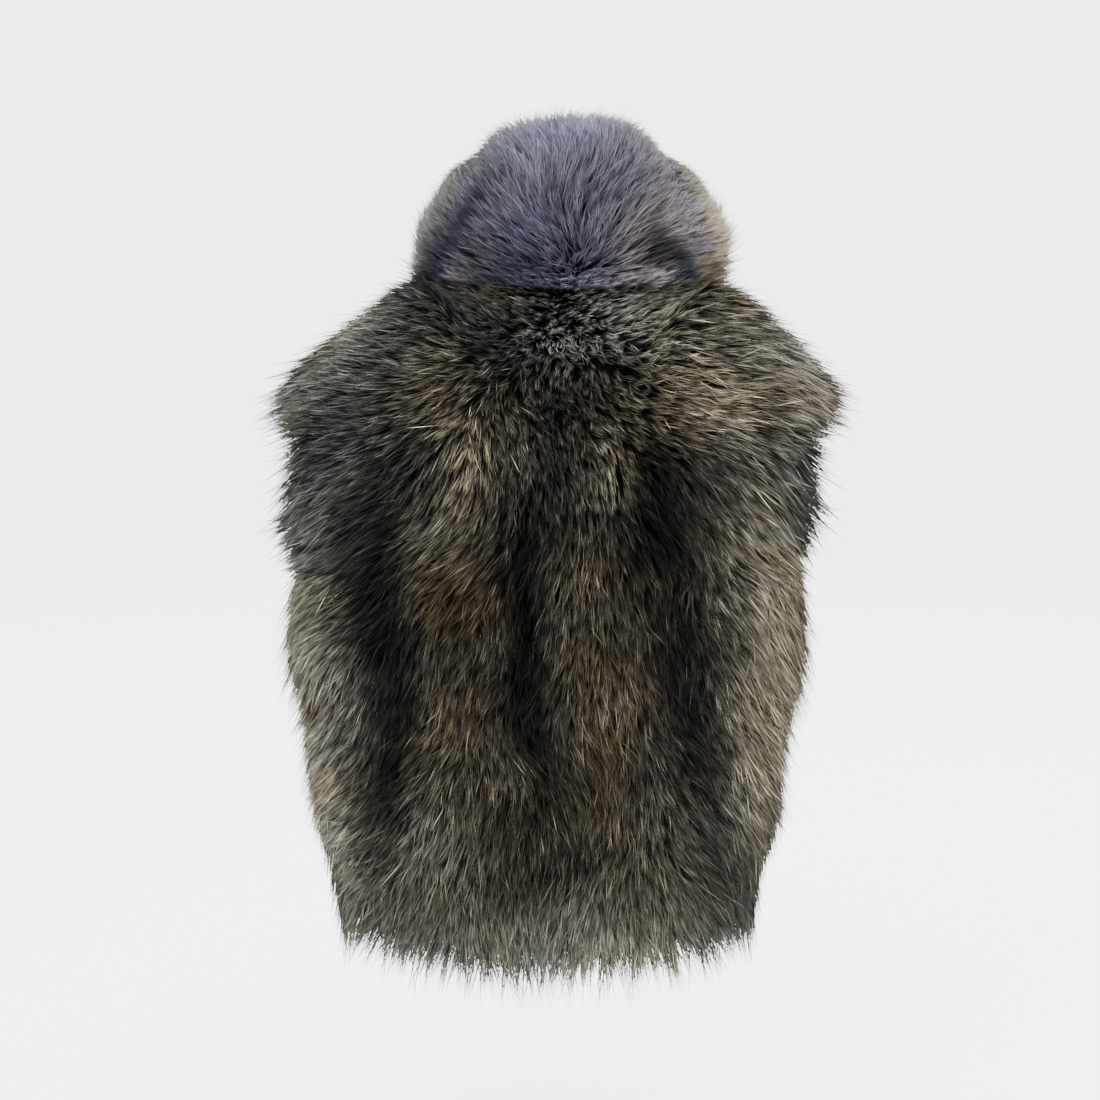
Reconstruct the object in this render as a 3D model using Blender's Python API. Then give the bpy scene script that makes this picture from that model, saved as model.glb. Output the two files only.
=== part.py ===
"""Faux fur vest with a hood, as it hangs on a wearer.

Metres, +Z up, the front faces -Y and the wearer's left is +X. The origin is the centre of the neck opening
at the height where the shoulders carry the vest.
Each panel is one closed wall. Its inside is the fabric that the pile grows from, and its outside is the
surface of the pile, which runs out past the hem, the armholes and the face edge as the tips of the fur do.
"""

import math
import random

import bmesh
import bpy
import numpy as np

# Sizes of the fabric that the pile grows from
NECK_HALF_WIDTH = 0.105
NECK_BACK_DEPTH = 0.075
NECK_FRONT_DEPTH = 0.090
NECK_HEIGHT = 0.008
NECK_FRONT_FALL = 0.45
HOOD_SEAM_ON_NECK = 22.0
SHOULDER_HALF_WIDTH = 0.206
SHOULDER_TIP_HEIGHT = -0.080
FRONT_EDGE_TOP = 0.006
FRONT_EDGE_HEM = 0.010
SHOULDER_BOW = 1.4

# Levels of the body from the hem to the upper armhole. Heights at the side and at the middle, half width,
# depth at the back and the front, the y where a row ends, and the squareness of the section
LEVEL_COLUMNS = ("row", "z_side", "z_back", "z_front", "half", "back", "front", "end_y", "power")
LEVELS = (
    (0, -0.522, -0.540, -0.530, 0.171, 0.120, 0.121, 0.000, 2.3),
    (8, -0.444, -0.454, -0.448, 0.182, 0.121, 0.126, 0.000, 2.4),
    (16, -0.348, -0.352, -0.350, 0.191, 0.120, 0.128, 0.000, 2.4),
    (24, -0.247, -0.247, -0.247, 0.195, 0.122, 0.128, 0.000, 2.4),
    (28, -0.208, -0.195, -0.205, 0.195, 0.124, 0.125, 0.050, 2.5),
    (32, -0.165, -0.140, -0.165, 0.200, 0.122, 0.118, 0.062, 2.6),
    (36, -0.120, -0.086, -0.125, 0.203, 0.111, 0.107, 0.044, 2.6),
)
LAST_LEVEL_ROW = 36
BODY_ROWS = 46

# How the columns come to the top edge: across the shoulder, up to the middle of the neckline, the angle on the
# neckline where the second takes over, how they fan out round the side of the neck, and how round the top is
ACROSS_BACK = np.array([0.0, -1.0, 0.10])
ACROSS_FRONT = np.array([0.0, 1.0, NECK_FRONT_FALL])
RISING_BACK = np.array([0.0, -0.55, 0.85])
RISING_FRONT = np.array([0.0, 0.30, 1.0])
RISING_FROM_ANGLE = 45.0
NECK_FAN = 0.55
NECK_FAN_REACH = 0.060
TOP_ROUNDNESS = 1.15

# Columns along the top edge
SHOULDER_COLUMNS = 10
BACK_NECK_COLUMNS = 20
FRONT_NECK_COLUMNS = 12

# The hood's crest in the middle plane, the half width of its arches, where an arch is widest between its
# crest and its foot, the angle of the seam from the crest, and how pointed the arch is
CREST_COLUMNS = ("v", "y", "z", "half", "widest", "seam_angle", "pointed")
CREST = (
    (0.00, 0.075, 0.008, 0.105, 1.00, 68.0, 1.00),
    (0.16, 0.094, 0.045, 0.106, 0.90, 63.0, 0.94),
    (0.34, 0.094, 0.092, 0.111, 0.76, 53.0, 0.95),
    (0.54, 0.058, 0.127, 0.116, 0.70, 47.0, 1.08),
    (0.78, -0.012, 0.139, 0.118, 0.68, 44.0, 1.18),
    (1.00, -0.072, 0.124, 0.115, 0.64, 42.0, 1.15),
)

# How far back and how far up an arch's path bends, as shares of the way from its foot to its crest, up to
# which v that bend grows, how an arch narrows from its widest place to its foot, and the points on it
ARCH_BEND = np.array([0.12, 0.80])
BENT_FROM_V = 0.30
WIDE_FROM_V = 0.20
ARCH_NARROWING = 1.6
ARCH_POINTS = 160

# The vest hangs a little to one side: heights and the x of its middle there
LEAN = ((-0.60, 0.016), (-0.30, 0.016), (-0.10, 0.007), (0.00, 0.0), (0.08, -0.007), (0.20, -0.009))
HOOD_ROWS = 24
HOOD_CENTRE_COLUMNS = 16
HOOD_SIDE_COLUMNS = 14

# Height of the pile's surface over the fabric, all over and where it is less or more
PILE = 0.027
PILE_AT_HEM = 0.015
HEM_PILE_REACH = 0.060
PILE_AT_NECK = 0.013
PILE_IN_HOOD_SEAM = 0.010
HOOD_SEAM_REACH = 0.030
PILE_OF_FULL_SIDE = 0.006
FLATTER_AT_FACE = 0.30
FLATTER_AT_FOOT = 0.40
FLATTER_AT_ARM = 0.20
FOOT_REACH = 0.070

# How far the pile's tips run out past the edges of the fabric, and from how far away they begin to
HEM_SPILL = 0.036
HEM_UNEVEN = 0.16
ARM_SPILL = 0.034
ARM_SPILL_AT_TIP = 0.031
ARM_UNEVEN = 0.18
SPILL_REACH = 0.110
FACE_SPILL = 0.018
FACE_UNEVEN = 0.20
FACE_REACH = 0.080
FACE_SPILL_FROM_FOOT = (0.060, 0.180)
FRONT_EDGE_SPILL = 0.0045
FRONT_EDGE_TUCK = 0.006
FRONT_EDGE_REACH = 0.050
SIDE_SEAM_REACH = 0.030

# Rows of the body where the armhole's pile starts and is full, where it gets its length at the shoulder's
# tip, and where its edge gets even
ARM_ROWS = (23.0, 35.0)
ARM_TIP_ROWS = (33.0, 45.0)
ARM_EVEN_ROWS = (34.0, 40.0)
RIDGES_FADE_ROWS = (26.4, 38.4)

# The neck seam's surface: its slope at the side, back and front, the share of pile at the side, how far
# round that share lasts, how far the seam draws the pile in, and how its two sides open away from it
NECK_RISE_AT_SIDE = 0.45
NECK_RISE_AT_BACK = 0.12
NECK_RISE_AT_FRONT = -0.20
NECK_SIDE_SHARE = 0.45
NECK_SIDE_REACH = 0.39
CREASE_REACH = 0.050
CREASE_COLUMNS = 5
SEAM_OPENING = 0.10
SEAM_GAP = 0.0003

# Locks of pile: their height, and how many rows and columns of points each takes
LOCK = 0.0060
LOCK_ROWS = 4.0
LOCK_COLUMNS = 3.0

# Long ridges of the pelt pattern on the back and the fronts: their height and half width, how much and how
# often they wander sideways, and the x of each crest at the shoulder and at the hem
RIDGE = 0.0065
RIDGE_WIDTH = 0.038
RIDGE_WANDER = 0.006
RIDGE_WAVES = 9.0
BACK_RIDGES = ((0.205, 0.190), (0.078, 0.082), (-0.036, -0.038), (-0.195, -0.178))
FRONT_RIDGES = ((0.195, 0.180), (0.090, 0.088), (0.030, 0.034))

PILE_COLOURS = {
    "back": (0.062, 0.052, 0.042),
    "front_left": (0.066, 0.056, 0.045),
    "front_right": (0.066, 0.056, 0.045),
    "hood_centre": (0.070, 0.064, 0.063),
    "hood_left": (0.082, 0.072, 0.062),
    "hood_right": (0.100, 0.086, 0.070),
}


def smooth(t):
    """Goes from 0 to 1 with no slope at either end."""
    t = np.clip(t, 0.0, 1.0)
    return t * t * (3.0 - 2.0 * t)


def between(value, limits):
    """Goes smoothly from 0 at the first limit to 1 at the second."""
    return smooth((value - limits[0]) / (limits[1] - limits[0]))


def unit(v):
    length = np.linalg.norm(v, axis=-1, keepdims=True)
    return v / np.maximum(length, 1e-12)


def curve_through(keys, values, at):
    """A smooth curve through values at rising keys, read at the given places."""
    keys = np.asarray(keys, float)
    values = np.asarray(values, float)
    slopes = np.gradient(values, keys, axis=0)
    k = np.clip(np.searchsorted(keys, at, side="right") - 1, 0, len(keys) - 2)
    step = keys[k + 1] - keys[k]
    t = ((at - keys[k]) / step)[:, None]
    step = step[:, None]
    a, b = values[k], values[k + 1]
    start, end = slopes[k] * step, slopes[k + 1] * step
    keep = 2 * t**3 - 3 * t**2 + 1
    return keep * a + (t**3 - 2 * t**2 + t) * start + (1 - keep) * b + (t**3 - t**2) * end


def spaced(points, fractions):
    """Points along a polyline at the given fractions of its length."""
    steps = np.linalg.norm(np.diff(points, axis=0), axis=1)
    along = np.concatenate([[0.0], np.cumsum(steps)]) / steps.sum()
    return np.stack([np.interp(fractions, along, points[:, k]) for k in range(3)], 1)


def level_table():
    """The levels as smooth columns, one value for each row up to the last level."""
    rows = np.arange(LAST_LEVEL_ROW + 1, dtype=float)
    table = np.array(LEVELS)
    read = curve_through(table[:, 0], table[:, 1:], rows)
    return {name: read[:, k] for k, name in enumerate(LEVEL_COLUMNS[1:])}


def half_row(half, depth, end_y, power, z_side, z_middle, start_x):
    """A row from its outer end to the middle, on a squared ellipse, with y positive."""
    end_angle = math.acos(min(max(end_y, 0.0) / depth, 1.0) ** (power / 2))
    widest = half / max(math.sin(end_angle), 1e-6) ** (2 / power)
    angle = np.linspace(end_angle, 0.0, 240)
    x = widest * np.abs(np.sin(angle)) ** (2 / power)
    y = depth * np.abs(np.cos(angle)) ** (2 / power)
    z = z_middle + (z_side - z_middle) * (x / half) ** 2
    keep = x >= start_x
    return np.stack([x, y, z], 1)[keep]


def neck_point(angle, front):
    """A point of the neckline, at an angle from the side of the neck to the middle of the back or front."""
    x = NECK_HALF_WIDTH * math.cos(angle)
    y = math.sin(angle) * (-NECK_FRONT_DEPTH if front else NECK_BACK_DEPTH)
    return np.array([x, y, NECK_HEIGHT + (NECK_FRONT_FALL * y if front else 0.0)])


def shoulder_line(count):
    """The shoulder seam from the tip to the neck, slightly bowed, with no point at the neck."""
    t = np.linspace(0.0, 1.0, count + 1)[:-1]
    x = SHOULDER_HALF_WIDTH + (NECK_HALF_WIDTH - SHOULDER_HALF_WIDTH) * t
    z = NECK_HEIGHT + (SHOULDER_TIP_HEIGHT - NECK_HEIGHT) * (1.0 - t) ** SHOULDER_BOW
    return np.stack([x, np.zeros(count), z], 1)


def rounded_top(last, top, arrival, rows):
    """Rows from the last level to the top edge. Each column starts straight up and ends along its arrival."""
    t = (np.arange(1, rows + 1) / rows)[:, None, None]
    reach = np.linalg.norm(top - last, axis=1)[:, None]
    start = np.array([0.0, 0.0, TOP_ROUNDNESS]) * reach
    end = unit(arrival) * reach * TOP_ROUNDNESS
    keep = 2 * t**3 - 3 * t**2 + 1
    return list(keep * last + (t**3 - 2 * t**2 + t) * start + (1 - keep) * top + (t**3 - t**2) * end)


def arrivals(top, neck_angles, front):
    """The way each column comes to the top edge: across the shoulder, fanned round the side of the neck, and
    rising at the front and back."""
    across, rising = (ACROSS_FRONT, RISING_FRONT) if front else (ACROSS_BACK, RISING_BACK)
    share = smooth(neck_angles / math.radians(RISING_FROM_ANGLE))[:, None]
    found = across * (1.0 - share) + rising * share
    past_neck = np.abs(top[:, 0]) - NECK_HALF_WIDTH
    fan = NECK_FAN * np.cos(neck_angles) * (1.0 - smooth(past_neck / NECK_FAN_REACH))
    found[:, 0] = -np.sign(top[:, 0]) * fan
    return found


def back_neck_line():
    """The back neckline from left to right, with a point at each hood seam, and its angles."""
    seam = HOOD_SEAM_ON_NECK
    middle = np.linspace(seam, 180.0 - seam, HOOD_CENTRE_COLUMNS + 1)
    angles = np.radians(np.concatenate([[0.0, seam / 2], middle, [180.0 - seam / 2, 180.0]]))
    return np.array([neck_point(angle, False) for angle in angles]), angles


def front_neck_line():
    """The left front's neckline from the side of the neck to the front edge, and its angles."""
    last_angle = math.acos(FRONT_EDGE_TOP / NECK_HALF_WIDTH)
    angles = np.linspace(0.0, last_angle, FRONT_NECK_COLUMNS + 1)
    return np.array([neck_point(angle, True) for angle in angles]), angles


def back_base():
    """The back panel's fabric as a grid of points, rows from the hem up, columns from left to right."""
    table = level_table()
    columns = 2 * SHOULDER_COLUMNS + BACK_NECK_COLUMNS
    half_fractions = np.linspace(0.0, 1.0, columns // 2 + 1)
    grid = []
    for i in range(LAST_LEVEL_ROW + 1):
        names = ("half", "back", "end_y", "power", "z_side", "z_back")
        left = half_row(*[table[n][i] for n in names], 0.0)
        left = spaced(left, half_fractions)
        grid.append(np.concatenate([left, mirrored(left)[-2::-1]]))
    neck, angles = back_neck_line()
    shoulder = shoulder_line(SHOULDER_COLUMNS)
    top = np.concatenate([shoulder, neck, mirrored(shoulder)[::-1]])
    none = np.zeros(SHOULDER_COLUMNS)
    turns = np.concatenate([none, np.minimum(angles, math.pi - angles), none])
    grid += rounded_top(grid[-1], top, arrivals(top, turns, False), BODY_ROWS - LAST_LEVEL_ROW)
    return np.array(grid)


def front_base():
    """The left front's fabric, rows from the hem up, columns from the front edge to the side."""
    table = level_table()
    columns = SHOULDER_COLUMNS + FRONT_NECK_COLUMNS
    grid = []
    for i in range(LAST_LEVEL_ROW + 1):
        edge = FRONT_EDGE_HEM + (FRONT_EDGE_TOP - FRONT_EDGE_HEM) * i / BODY_ROWS
        names = ("half", "front", "end_y", "power", "z_side", "z_front")
        row = half_row(*[table[n][i] for n in names], edge)
        row = spaced(row, np.linspace(0.0, 1.0, columns + 1))[::-1]
        grid.append(row * (1.0, -1.0, 1.0))
    neck, angles = front_neck_line()
    top = np.concatenate([neck[::-1], shoulder_line(SHOULDER_COLUMNS)[::-1]])
    turns = np.concatenate([angles[::-1], np.zeros(SHOULDER_COLUMNS)])
    grid += rounded_top(grid[-1], top, arrivals(top, turns, True), BODY_ROWS - LAST_LEVEL_ROW)
    return np.array(grid)


def mirrored(points):
    return points * (-1.0, 1.0, 1.0)


def hood_arch(v, foot):
    """Half of one arch of the hood, from its crest to its foot on the neckline, and where its seam lies."""
    table = np.array(CREST)
    here = dict(zip(CREST_COLUMNS[1:], curve_through(table[:, 0], table[:, 1:], np.array([v]))[0]))
    crest = np.array([here["y"], here["z"]])
    bend = foot[1:] + (crest - foot[1:]) * ARCH_BEND
    widest = min(here["widest"], 0.995)
    half = foot[0] + (here["half"] - foot[0]) * smooth(v / WIDE_FROM_V)
    turn = np.linspace(0.0, math.pi / 2, ARCH_POINTS)
    fall = np.linspace(0.0, 1.0, ARCH_POINTS)[1:]
    upper = half * np.sin(turn) ** here["pointed"]
    lower = half + (foot[0] - half) * fall**ARCH_NARROWING
    down = np.concatenate([widest * (1.0 - np.cos(turn)), widest + (1.0 - widest) * fall])[:, None]
    back = 1.0 - ARCH_BEND[0]
    level = (back - np.sqrt(back**2 - (2.0 * back - 1.0) * down)) / (2.0 * back - 1.0)
    down = level + (down - level) * smooth(v / BENT_FROM_V)
    path = (1.0 - down) ** 2 * crest + 2.0 * down * (1.0 - down) * bend + down**2 * foot[1:]
    seam = int(round(here["seam_angle"] / 90.0 * (ARCH_POINTS - 1)))
    return np.column_stack([np.concatenate([upper, lower]), path]), seam


def hood_base():
    """The fabric of the hood, rows from the back neckline to the face, columns from left foot to right."""
    front, _ = front_neck_line()
    back, _ = back_neck_line()
    feet = spaced_by_index(front, HOOD_ROWS)
    short = spaced_by_index(back[:3], HOOD_SIDE_COLUMNS)
    grid = [np.concatenate([short[:-1], back[2:-2], mirrored(short)[-2::-1]])]
    for i in range(1, HOOD_ROWS + 1):
        points, seam = hood_arch(i / HOOD_ROWS, feet[i])
        half = spaced(points[: seam + 1], np.linspace(1.0, 0.0, HOOD_CENTRE_COLUMNS // 2 + 1))
        side = spaced(points[seam:], np.linspace(1.0, 0.0, HOOD_SIDE_COLUMNS + 1))
        left = np.concatenate([side[:-1], half])
        grid.append(np.concatenate([left, mirrored(left)[-2::-1]]))
    return np.array(grid)


def spaced_by_index(points, count):
    """Points on a polyline, the same number of them on each of its segments."""
    at = np.linspace(0.0, len(points) - 1.0, count + 1)
    return np.stack([np.interp(at, np.arange(len(points)), points[:, k]) for k in range(3)], 1)


def normals_of(grid, inside):
    """Unit normals of a grid, turned so that they point away from a place inside it."""
    found = unit(np.cross(np.gradient(grid, axis=1), np.gradient(grid, axis=0)))
    middle = grid.shape[0] // 2, grid.shape[1] // 2
    if found[middle] @ (grid[middle] - inside) < 0:
        found = -found
    return found


def distance_from(grid, axis, end):
    """Length along each grid line from one end of it."""
    steps = np.linalg.norm(np.diff(grid, axis=axis), axis=2)
    total = np.zeros(grid.shape[:2])
    if axis == 0:
        total[1:] = np.cumsum(steps, axis=0)
        return total[-1:] - total if end else total
    total[:, 1:] = np.cumsum(steps, axis=1)
    return total[:, -1:] - total if end else total


def locks(shape, seed):
    """Overlapping locks of pile, thickest just above their tips, from 0 to 1."""
    rng = random.Random(seed)
    table = [[rng.random() for _ in range(64)] for _ in range(64)]
    found = np.zeros(shape)
    for i in range(shape[0]):
        for j in range(shape[1]):
            lane = j / LOCK_COLUMNS
            offset = 0.5 * (int(lane) % 2) + 0.35 * table[int(lane) % 64][0]
            along = i / LOCK_ROWS + offset
            strength = 0.45 + 0.55 * table[int(lane) % 64][int(along) % 64]
            ridge = 0.35 + 0.65 * math.sin(math.pi * (lane - int(lane) + 0.5 / LOCK_COLUMNS)) ** 2
            found[i, j] = strength * ridge * (1.0 - (along - int(along)))
    return found


def ridges(grid, crests):
    """Long soft ridges down the panel, from -1 between them to 1 on them."""
    low, high = grid[0, 0, 2], NECK_HEIGHT
    up = (grid[:, :, 2] - low) / (high - low)
    found = np.zeros(grid.shape[:2])
    for top, hem in crests:
        middle = hem + (top - hem) * up + RIDGE_WANDER * np.sin(up * RIDGE_WAVES + top * 60.0)
        found = np.maximum(found, np.exp(-(((grid[:, :, 0] - middle) / RIDGE_WIDTH) ** 2)))
    return 2.0 * found - 1.0


def uneven(count, seed):
    """Numbers from -1 to 1, one for each row or column along an edge."""
    rng = random.Random(seed)
    return np.array([rng.uniform(-1.0, 1.0) for _ in range(count)])


def body_tips(grid, normals, arm_ends, front_end, seed, crests):
    """The way from the fabric to the surface of the pile, for a body panel."""
    rows, columns = grid.shape[:2]
    from_hem = distance_from(grid, 0, False)
    to_top = distance_from(grid, 0, True)
    level = np.arange(rows)[:, None]
    side = 0.0 * from_hem
    spill = np.zeros(grid.shape)

    down = -unit(np.gradient(grid, axis=0))
    hem_length = HEM_SPILL * (1.0 + HEM_UNEVEN * uneven(columns, seed))[None, :]
    spill += down * (hem_length * (1.0 - smooth(from_hem / SPILL_REACH)))[:, :, None]

    along = unit(np.gradient(grid, axis=1))
    arm = between(level, ARM_ROWS)
    for end in arm_ends:
        away = along if end else -along
        away = unit(away + np.sign(away * (1.0, 0.0, 0.0)))
        fade = 1.0 - smooth(distance_from(grid, 1, end) / SPILL_REACH)
        rough = ARM_UNEVEN * (1.0 - between(level, ARM_EVEN_ROWS)) * uneven(rows, seed + 3 + end)[:, None]
        length = ARM_SPILL + (ARM_SPILL_AT_TIP - ARM_SPILL) * between(level, ARM_TIP_ROWS)
        spill += away * (length * arm * (1.0 + rough) * fade)[:, :, None]
        side = np.maximum(side, fade)

    height = PILE + RIDGE * ridges(grid, crests) * (1.0 - 0.7 * between(level, RIDGES_FADE_ROWS))
    height = height + LOCK * (locks((rows, columns), seed) - 0.35)
    height = PILE_AT_HEM + (height - PILE_AT_HEM) * (0.35 + 0.65 * smooth(from_hem / HEM_PILE_REACH))
    height = height * (1.0 - FLATTER_AT_ARM * side * arm)

    neck = neck_columns(columns, front_end is not None)
    near = (1.0 - smooth(to_top / CREASE_REACH)) * neck[None, :]
    seam_way, seam_height = neck_ways(grid)
    way = unit(normals * (1.0 - near)[:, :, None] + seam_way * near[:, :, None])
    height = height + (seam_height - height) * near

    tips = way * height[:, :, None] + spill
    above, outside = above_neck_seam(grid + tips)
    tips[:, :, 2] -= outside * np.maximum(above + SEAM_OPENING * to_top, 0.0)
    if front_end is not None:
        fade = 1.0 - smooth(distance_from(grid, 1, front_end) / FRONT_EDGE_REACH)
        tips[:, :, 0] -= FRONT_EDGE_SPILL * fade * np.sign(grid[:, :, 0])
        tips[:, :, 1] += FRONT_EDGE_TUCK * fade * (1.0 - near)
    tips[:, :, 1] *= smooth(np.abs(grid[:, :, 1]) / SIDE_SEAM_REACH)
    return tips


def neck_columns(columns, front):
    """1 on the columns that end at the neckline, falling to 0 along the shoulder."""
    found = np.ones(columns)
    for k in range(SHOULDER_COLUMNS + 1):
        share = float(smooth((k - SHOULDER_COLUMNS) / CREASE_COLUMNS + 1.0))
        found[columns - 1 - k] = share
        if not front:
            found[k] = share
    return found


def hood_tips(grid, normals, seed):
    """The way from the fabric to the surface of the pile, all over the hood."""
    rows, columns = grid.shape[:2]
    from_left = distance_from(grid, 1, False)
    from_right = distance_from(grid, 1, True)
    from_back = distance_from(grid, 0, False)
    to_face = distance_from(grid, 0, True)
    forward = np.cross(normals, unit(np.gradient(grid, axis=1)))
    forward *= np.sign(np.sum(forward * np.gradient(grid, axis=0), axis=2, keepdims=True))
    from_foot = np.minimum(from_left, from_right)
    off_foot = smooth(from_foot / FOOT_REACH)
    face = (1.0 - np.minimum(to_face / FACE_REACH, 1.0)) ** 1.5
    height = PILE + LOCK * (locks((rows, columns), seed) - 0.45) * (1.0 - face)
    on_right = smooth((np.arange(columns) - columns * 0.66) / 4.0)[None, :]
    height = height + PILE_OF_FULL_SIDE * on_right * (1.0 - face) * off_foot
    for seam in (HOOD_SIDE_COLUMNS, columns - 1 - HOOD_SIDE_COLUMNS):
        gone = np.abs(from_left - from_left[:, seam : seam + 1])
        height = height + (PILE_IN_HOOD_SEAM - height) * (1.0 - smooth(gone / HOOD_SEAM_REACH))
    height = height * (1.0 - FLATTER_AT_FACE * face) * (1.0 - FLATTER_AT_FOOT * face * (1.0 - off_foot))

    to_neck = np.minimum(from_foot, from_back)
    near = 1.0 - smooth(to_neck / CREASE_REACH)
    seam_way, seam_height = neck_ways(grid)
    way = unit(normals * (1.0 - near)[:, :, None] + seam_way * near[:, :, None])
    height = height + (seam_height - height) * near
    reach = FACE_SPILL * (1.0 + FACE_UNEVEN * uneven(columns, seed))[None, :]
    reach = reach * face * between(from_foot, FACE_SPILL_FROM_FOOT)
    tips = way * height[:, :, None] + forward * reach[:, :, None]
    above, outside = above_neck_seam(grid + tips)
    tips[:, :, 2] -= outside * np.minimum(above - SEAM_OPENING * to_neck, 0.0)
    return tips


def neck_rise(level_way):
    """The slope of the neck seam's surface along each level way out from the middle of the neck."""
    middle_rise = np.where(level_way[:, :, 1] < 0.0, NECK_RISE_AT_FRONT, NECK_RISE_AT_BACK)
    share = level_way[:, :, 1] ** 2
    return NECK_RISE_AT_SIDE * (1.0 - share) + middle_rise * share


def neck_ways(grid):
    """Ways out from the middle of the neck along the neck seam's surface, and the height of pile there."""
    way = unit(grid * (1.0, 1.0, 0.0))
    share = np.minimum(np.abs(way[:, :, 1]) / NECK_SIDE_REACH, 1.0)
    height = PILE_AT_NECK * (NECK_SIDE_SHARE + (1.0 - NECK_SIDE_SHARE) * share)
    way[:, :, 2] = neck_rise(way)
    return unit(way), height


def above_neck_seam(points):
    """Heights of points above the neck seam's surface, and which of them lie outside the neckline."""
    way = unit(points * (1.0, 1.0, 0.0))
    radius = np.hypot(points[:, :, 0], points[:, :, 1])
    depth = np.where(way[:, :, 1] < 0.0, NECK_FRONT_DEPTH, NECK_BACK_DEPTH)
    neck = 1.0 / np.hypot(way[:, :, 0] / NECK_HALF_WIDTH, way[:, :, 1] / depth)
    neck_z = NECK_HEIGHT + NECK_FRONT_FALL * np.minimum(way[:, :, 1] * neck, 0.0)
    return points[:, :, 2] - neck_z - neck_rise(way) * (radius - neck), radius > neck


def leaned(points):
    """Points moved sideways by the lean at their own height."""
    table = np.array(LEAN)
    moved = points.copy()
    flat = points[:, :, 2].ravel()
    moved[:, :, 0] += curve_through(table[:, 0], table[:, 1:], flat).reshape(points.shape[:2])
    return moved


def panel(name, base, tips, step):
    """One closed wall: an outer grid, an inner one with every point or every second one, and the rim."""
    rows, columns = base.shape[:2]
    outer = leaned(base + tips)
    base = leaned(base)
    mesh = bmesh.new()
    top = [[mesh.verts.new(outer[i, j]) for j in range(columns)] for i in range(rows)]
    low = {}

    def inner(i, j):
        if (i, j) not in low:
            low[i, j] = mesh.verts.new(base[i, j])
        return low[i, j]

    for i in range(rows - 1):
        for j in range(columns - 1):
            mesh.faces.new((top[i][j], top[i][j + 1], top[i + 1][j + 1], top[i + 1][j]))
    for i in range(0, rows - 1, step):
        for j in range(0, columns - 1, step):
            loop = [(i, j), (i, j + step), (i + step, j + step), (i + step, j)]
            if i == 0 and step == 2:
                loop.insert(1, (i, j + 1))
            if j + 2 == columns - 1 and step == 2:
                loop.insert(loop.index((i + 2, j + 2)), (i + 1, j + 2))
            if i + 2 == rows - 1 and step == 2:
                loop.insert(loop.index((i + 2, j)), (i + 2, j + 1))
            if j == 0 and step == 2:
                loop.append((i + 1, j))
            mesh.faces.new([inner(*at) for at in reversed(loop)])
    edge = [(0, j) for j in range(columns - 1)]
    edge += [(i, columns - 1) for i in range(rows - 1)]
    edge += [(rows - 1, j) for j in range(columns - 1, 0, -1)]
    edge += [(i, 0) for i in range(rows - 1, 0, -1)]
    for here, after in zip(edge, edge[1:] + edge[:1]):
        mesh.faces.new((inner(*here), inner(*after), top[after[0]][after[1]], top[here[0]][here[1]]))
    bmesh.ops.triangulate(mesh, faces=mesh.faces[:], quad_method="SHORT_EDGE")
    bmesh.ops.recalc_face_normals(mesh, faces=mesh.faces[:])
    if mesh.calc_volume(signed=True) < 0:
        bmesh.ops.reverse_faces(mesh, faces=mesh.faces[:])
    data = bpy.data.meshes.new(name)
    mesh.to_mesh(data)
    mesh.free()
    made = bpy.data.objects.new(name, data)
    bpy.context.scene.collection.objects.link(made)
    data.materials.append(pile_material(name))
    return made


def pile_material(name):
    """Faux fur pile in the panel's own mean colour."""
    made = bpy.data.materials.new("faux_fur_" + name)
    made.use_nodes = True
    shader = made.node_tree.nodes["Principled BSDF"]
    shader.inputs["Base Color"].default_value = (*PILE_COLOURS[name], 1.0)
    shader.inputs["Roughness"].default_value = 0.75
    return made


def apart(grid, tips, seam, inside):
    """Moves a seam's points off the seam's surface by half of the gap, towards the column inside."""
    line = grid[:, seam].copy()
    across = unit(np.cross(np.gradient(line, axis=0), tips[:, seam]))
    side = np.sum(across * (grid[:, inside] - line), axis=1, keepdims=True)
    grid[:, seam] = line + across * np.sign(side) * SEAM_GAP / 2


def split_body(grid, sign, columns):
    """Moves the points that lie in the plane of the side and shoulder seams off it, by half of the gap."""
    seam = np.abs(grid[:, :, 1]) < 1e-9
    grid[:, :, 1][seam] = sign * SEAM_GAP / 2
    grid[-1, columns, 2] -= SEAM_GAP / 2


def build_body():
    back = back_base()
    tips = body_tips(back, normals_of(back, np.array([0.0, -0.2, -0.25])), (0, 1), None, 11, BACK_RIDGES)
    neck = slice(SHOULDER_COLUMNS, SHOULDER_COLUMNS + BACK_NECK_COLUMNS + 1)
    split_body(back, 1.0, neck)
    panel("back", back, tips, 2)

    front = front_base()
    tips = body_tips(front, normals_of(front, np.array([0.1, 0.2, -0.25])), (1,), 0, 23, FRONT_RIDGES)
    split_body(front, -1.0, slice(0, FRONT_NECK_COLUMNS + 1))
    panel("front_left", front, tips, 2)
    right = body_tips(front, normals_of(front, np.array([0.1, 0.2, -0.25])), (1,), 0, 37, FRONT_RIDGES)
    panel("front_right", mirrored(front), mirrored(right), 2)


def build_hood():
    base = hood_base()
    tips = hood_tips(base, normals_of(base, np.array([0.0, 0.0, 0.05])), 41)
    base[:, :, 2] += SEAM_GAP / 2
    last = base.shape[1] - 1
    left, right = HOOD_SIDE_COLUMNS, last - HOOD_SIDE_COLUMNS
    pieces = (("hood_left", 0, left), ("hood_centre", left, right), ("hood_right", right, last))
    for name, start, end in pieces:
        grid = base[:, start : end + 1].copy()
        ways = tips[:, start : end + 1]
        if start > 0:
            apart(grid, ways, 0, 1)
        if end < last:
            apart(grid, ways, -1, -2)
        panel(name, grid, ways, 1)


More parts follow.
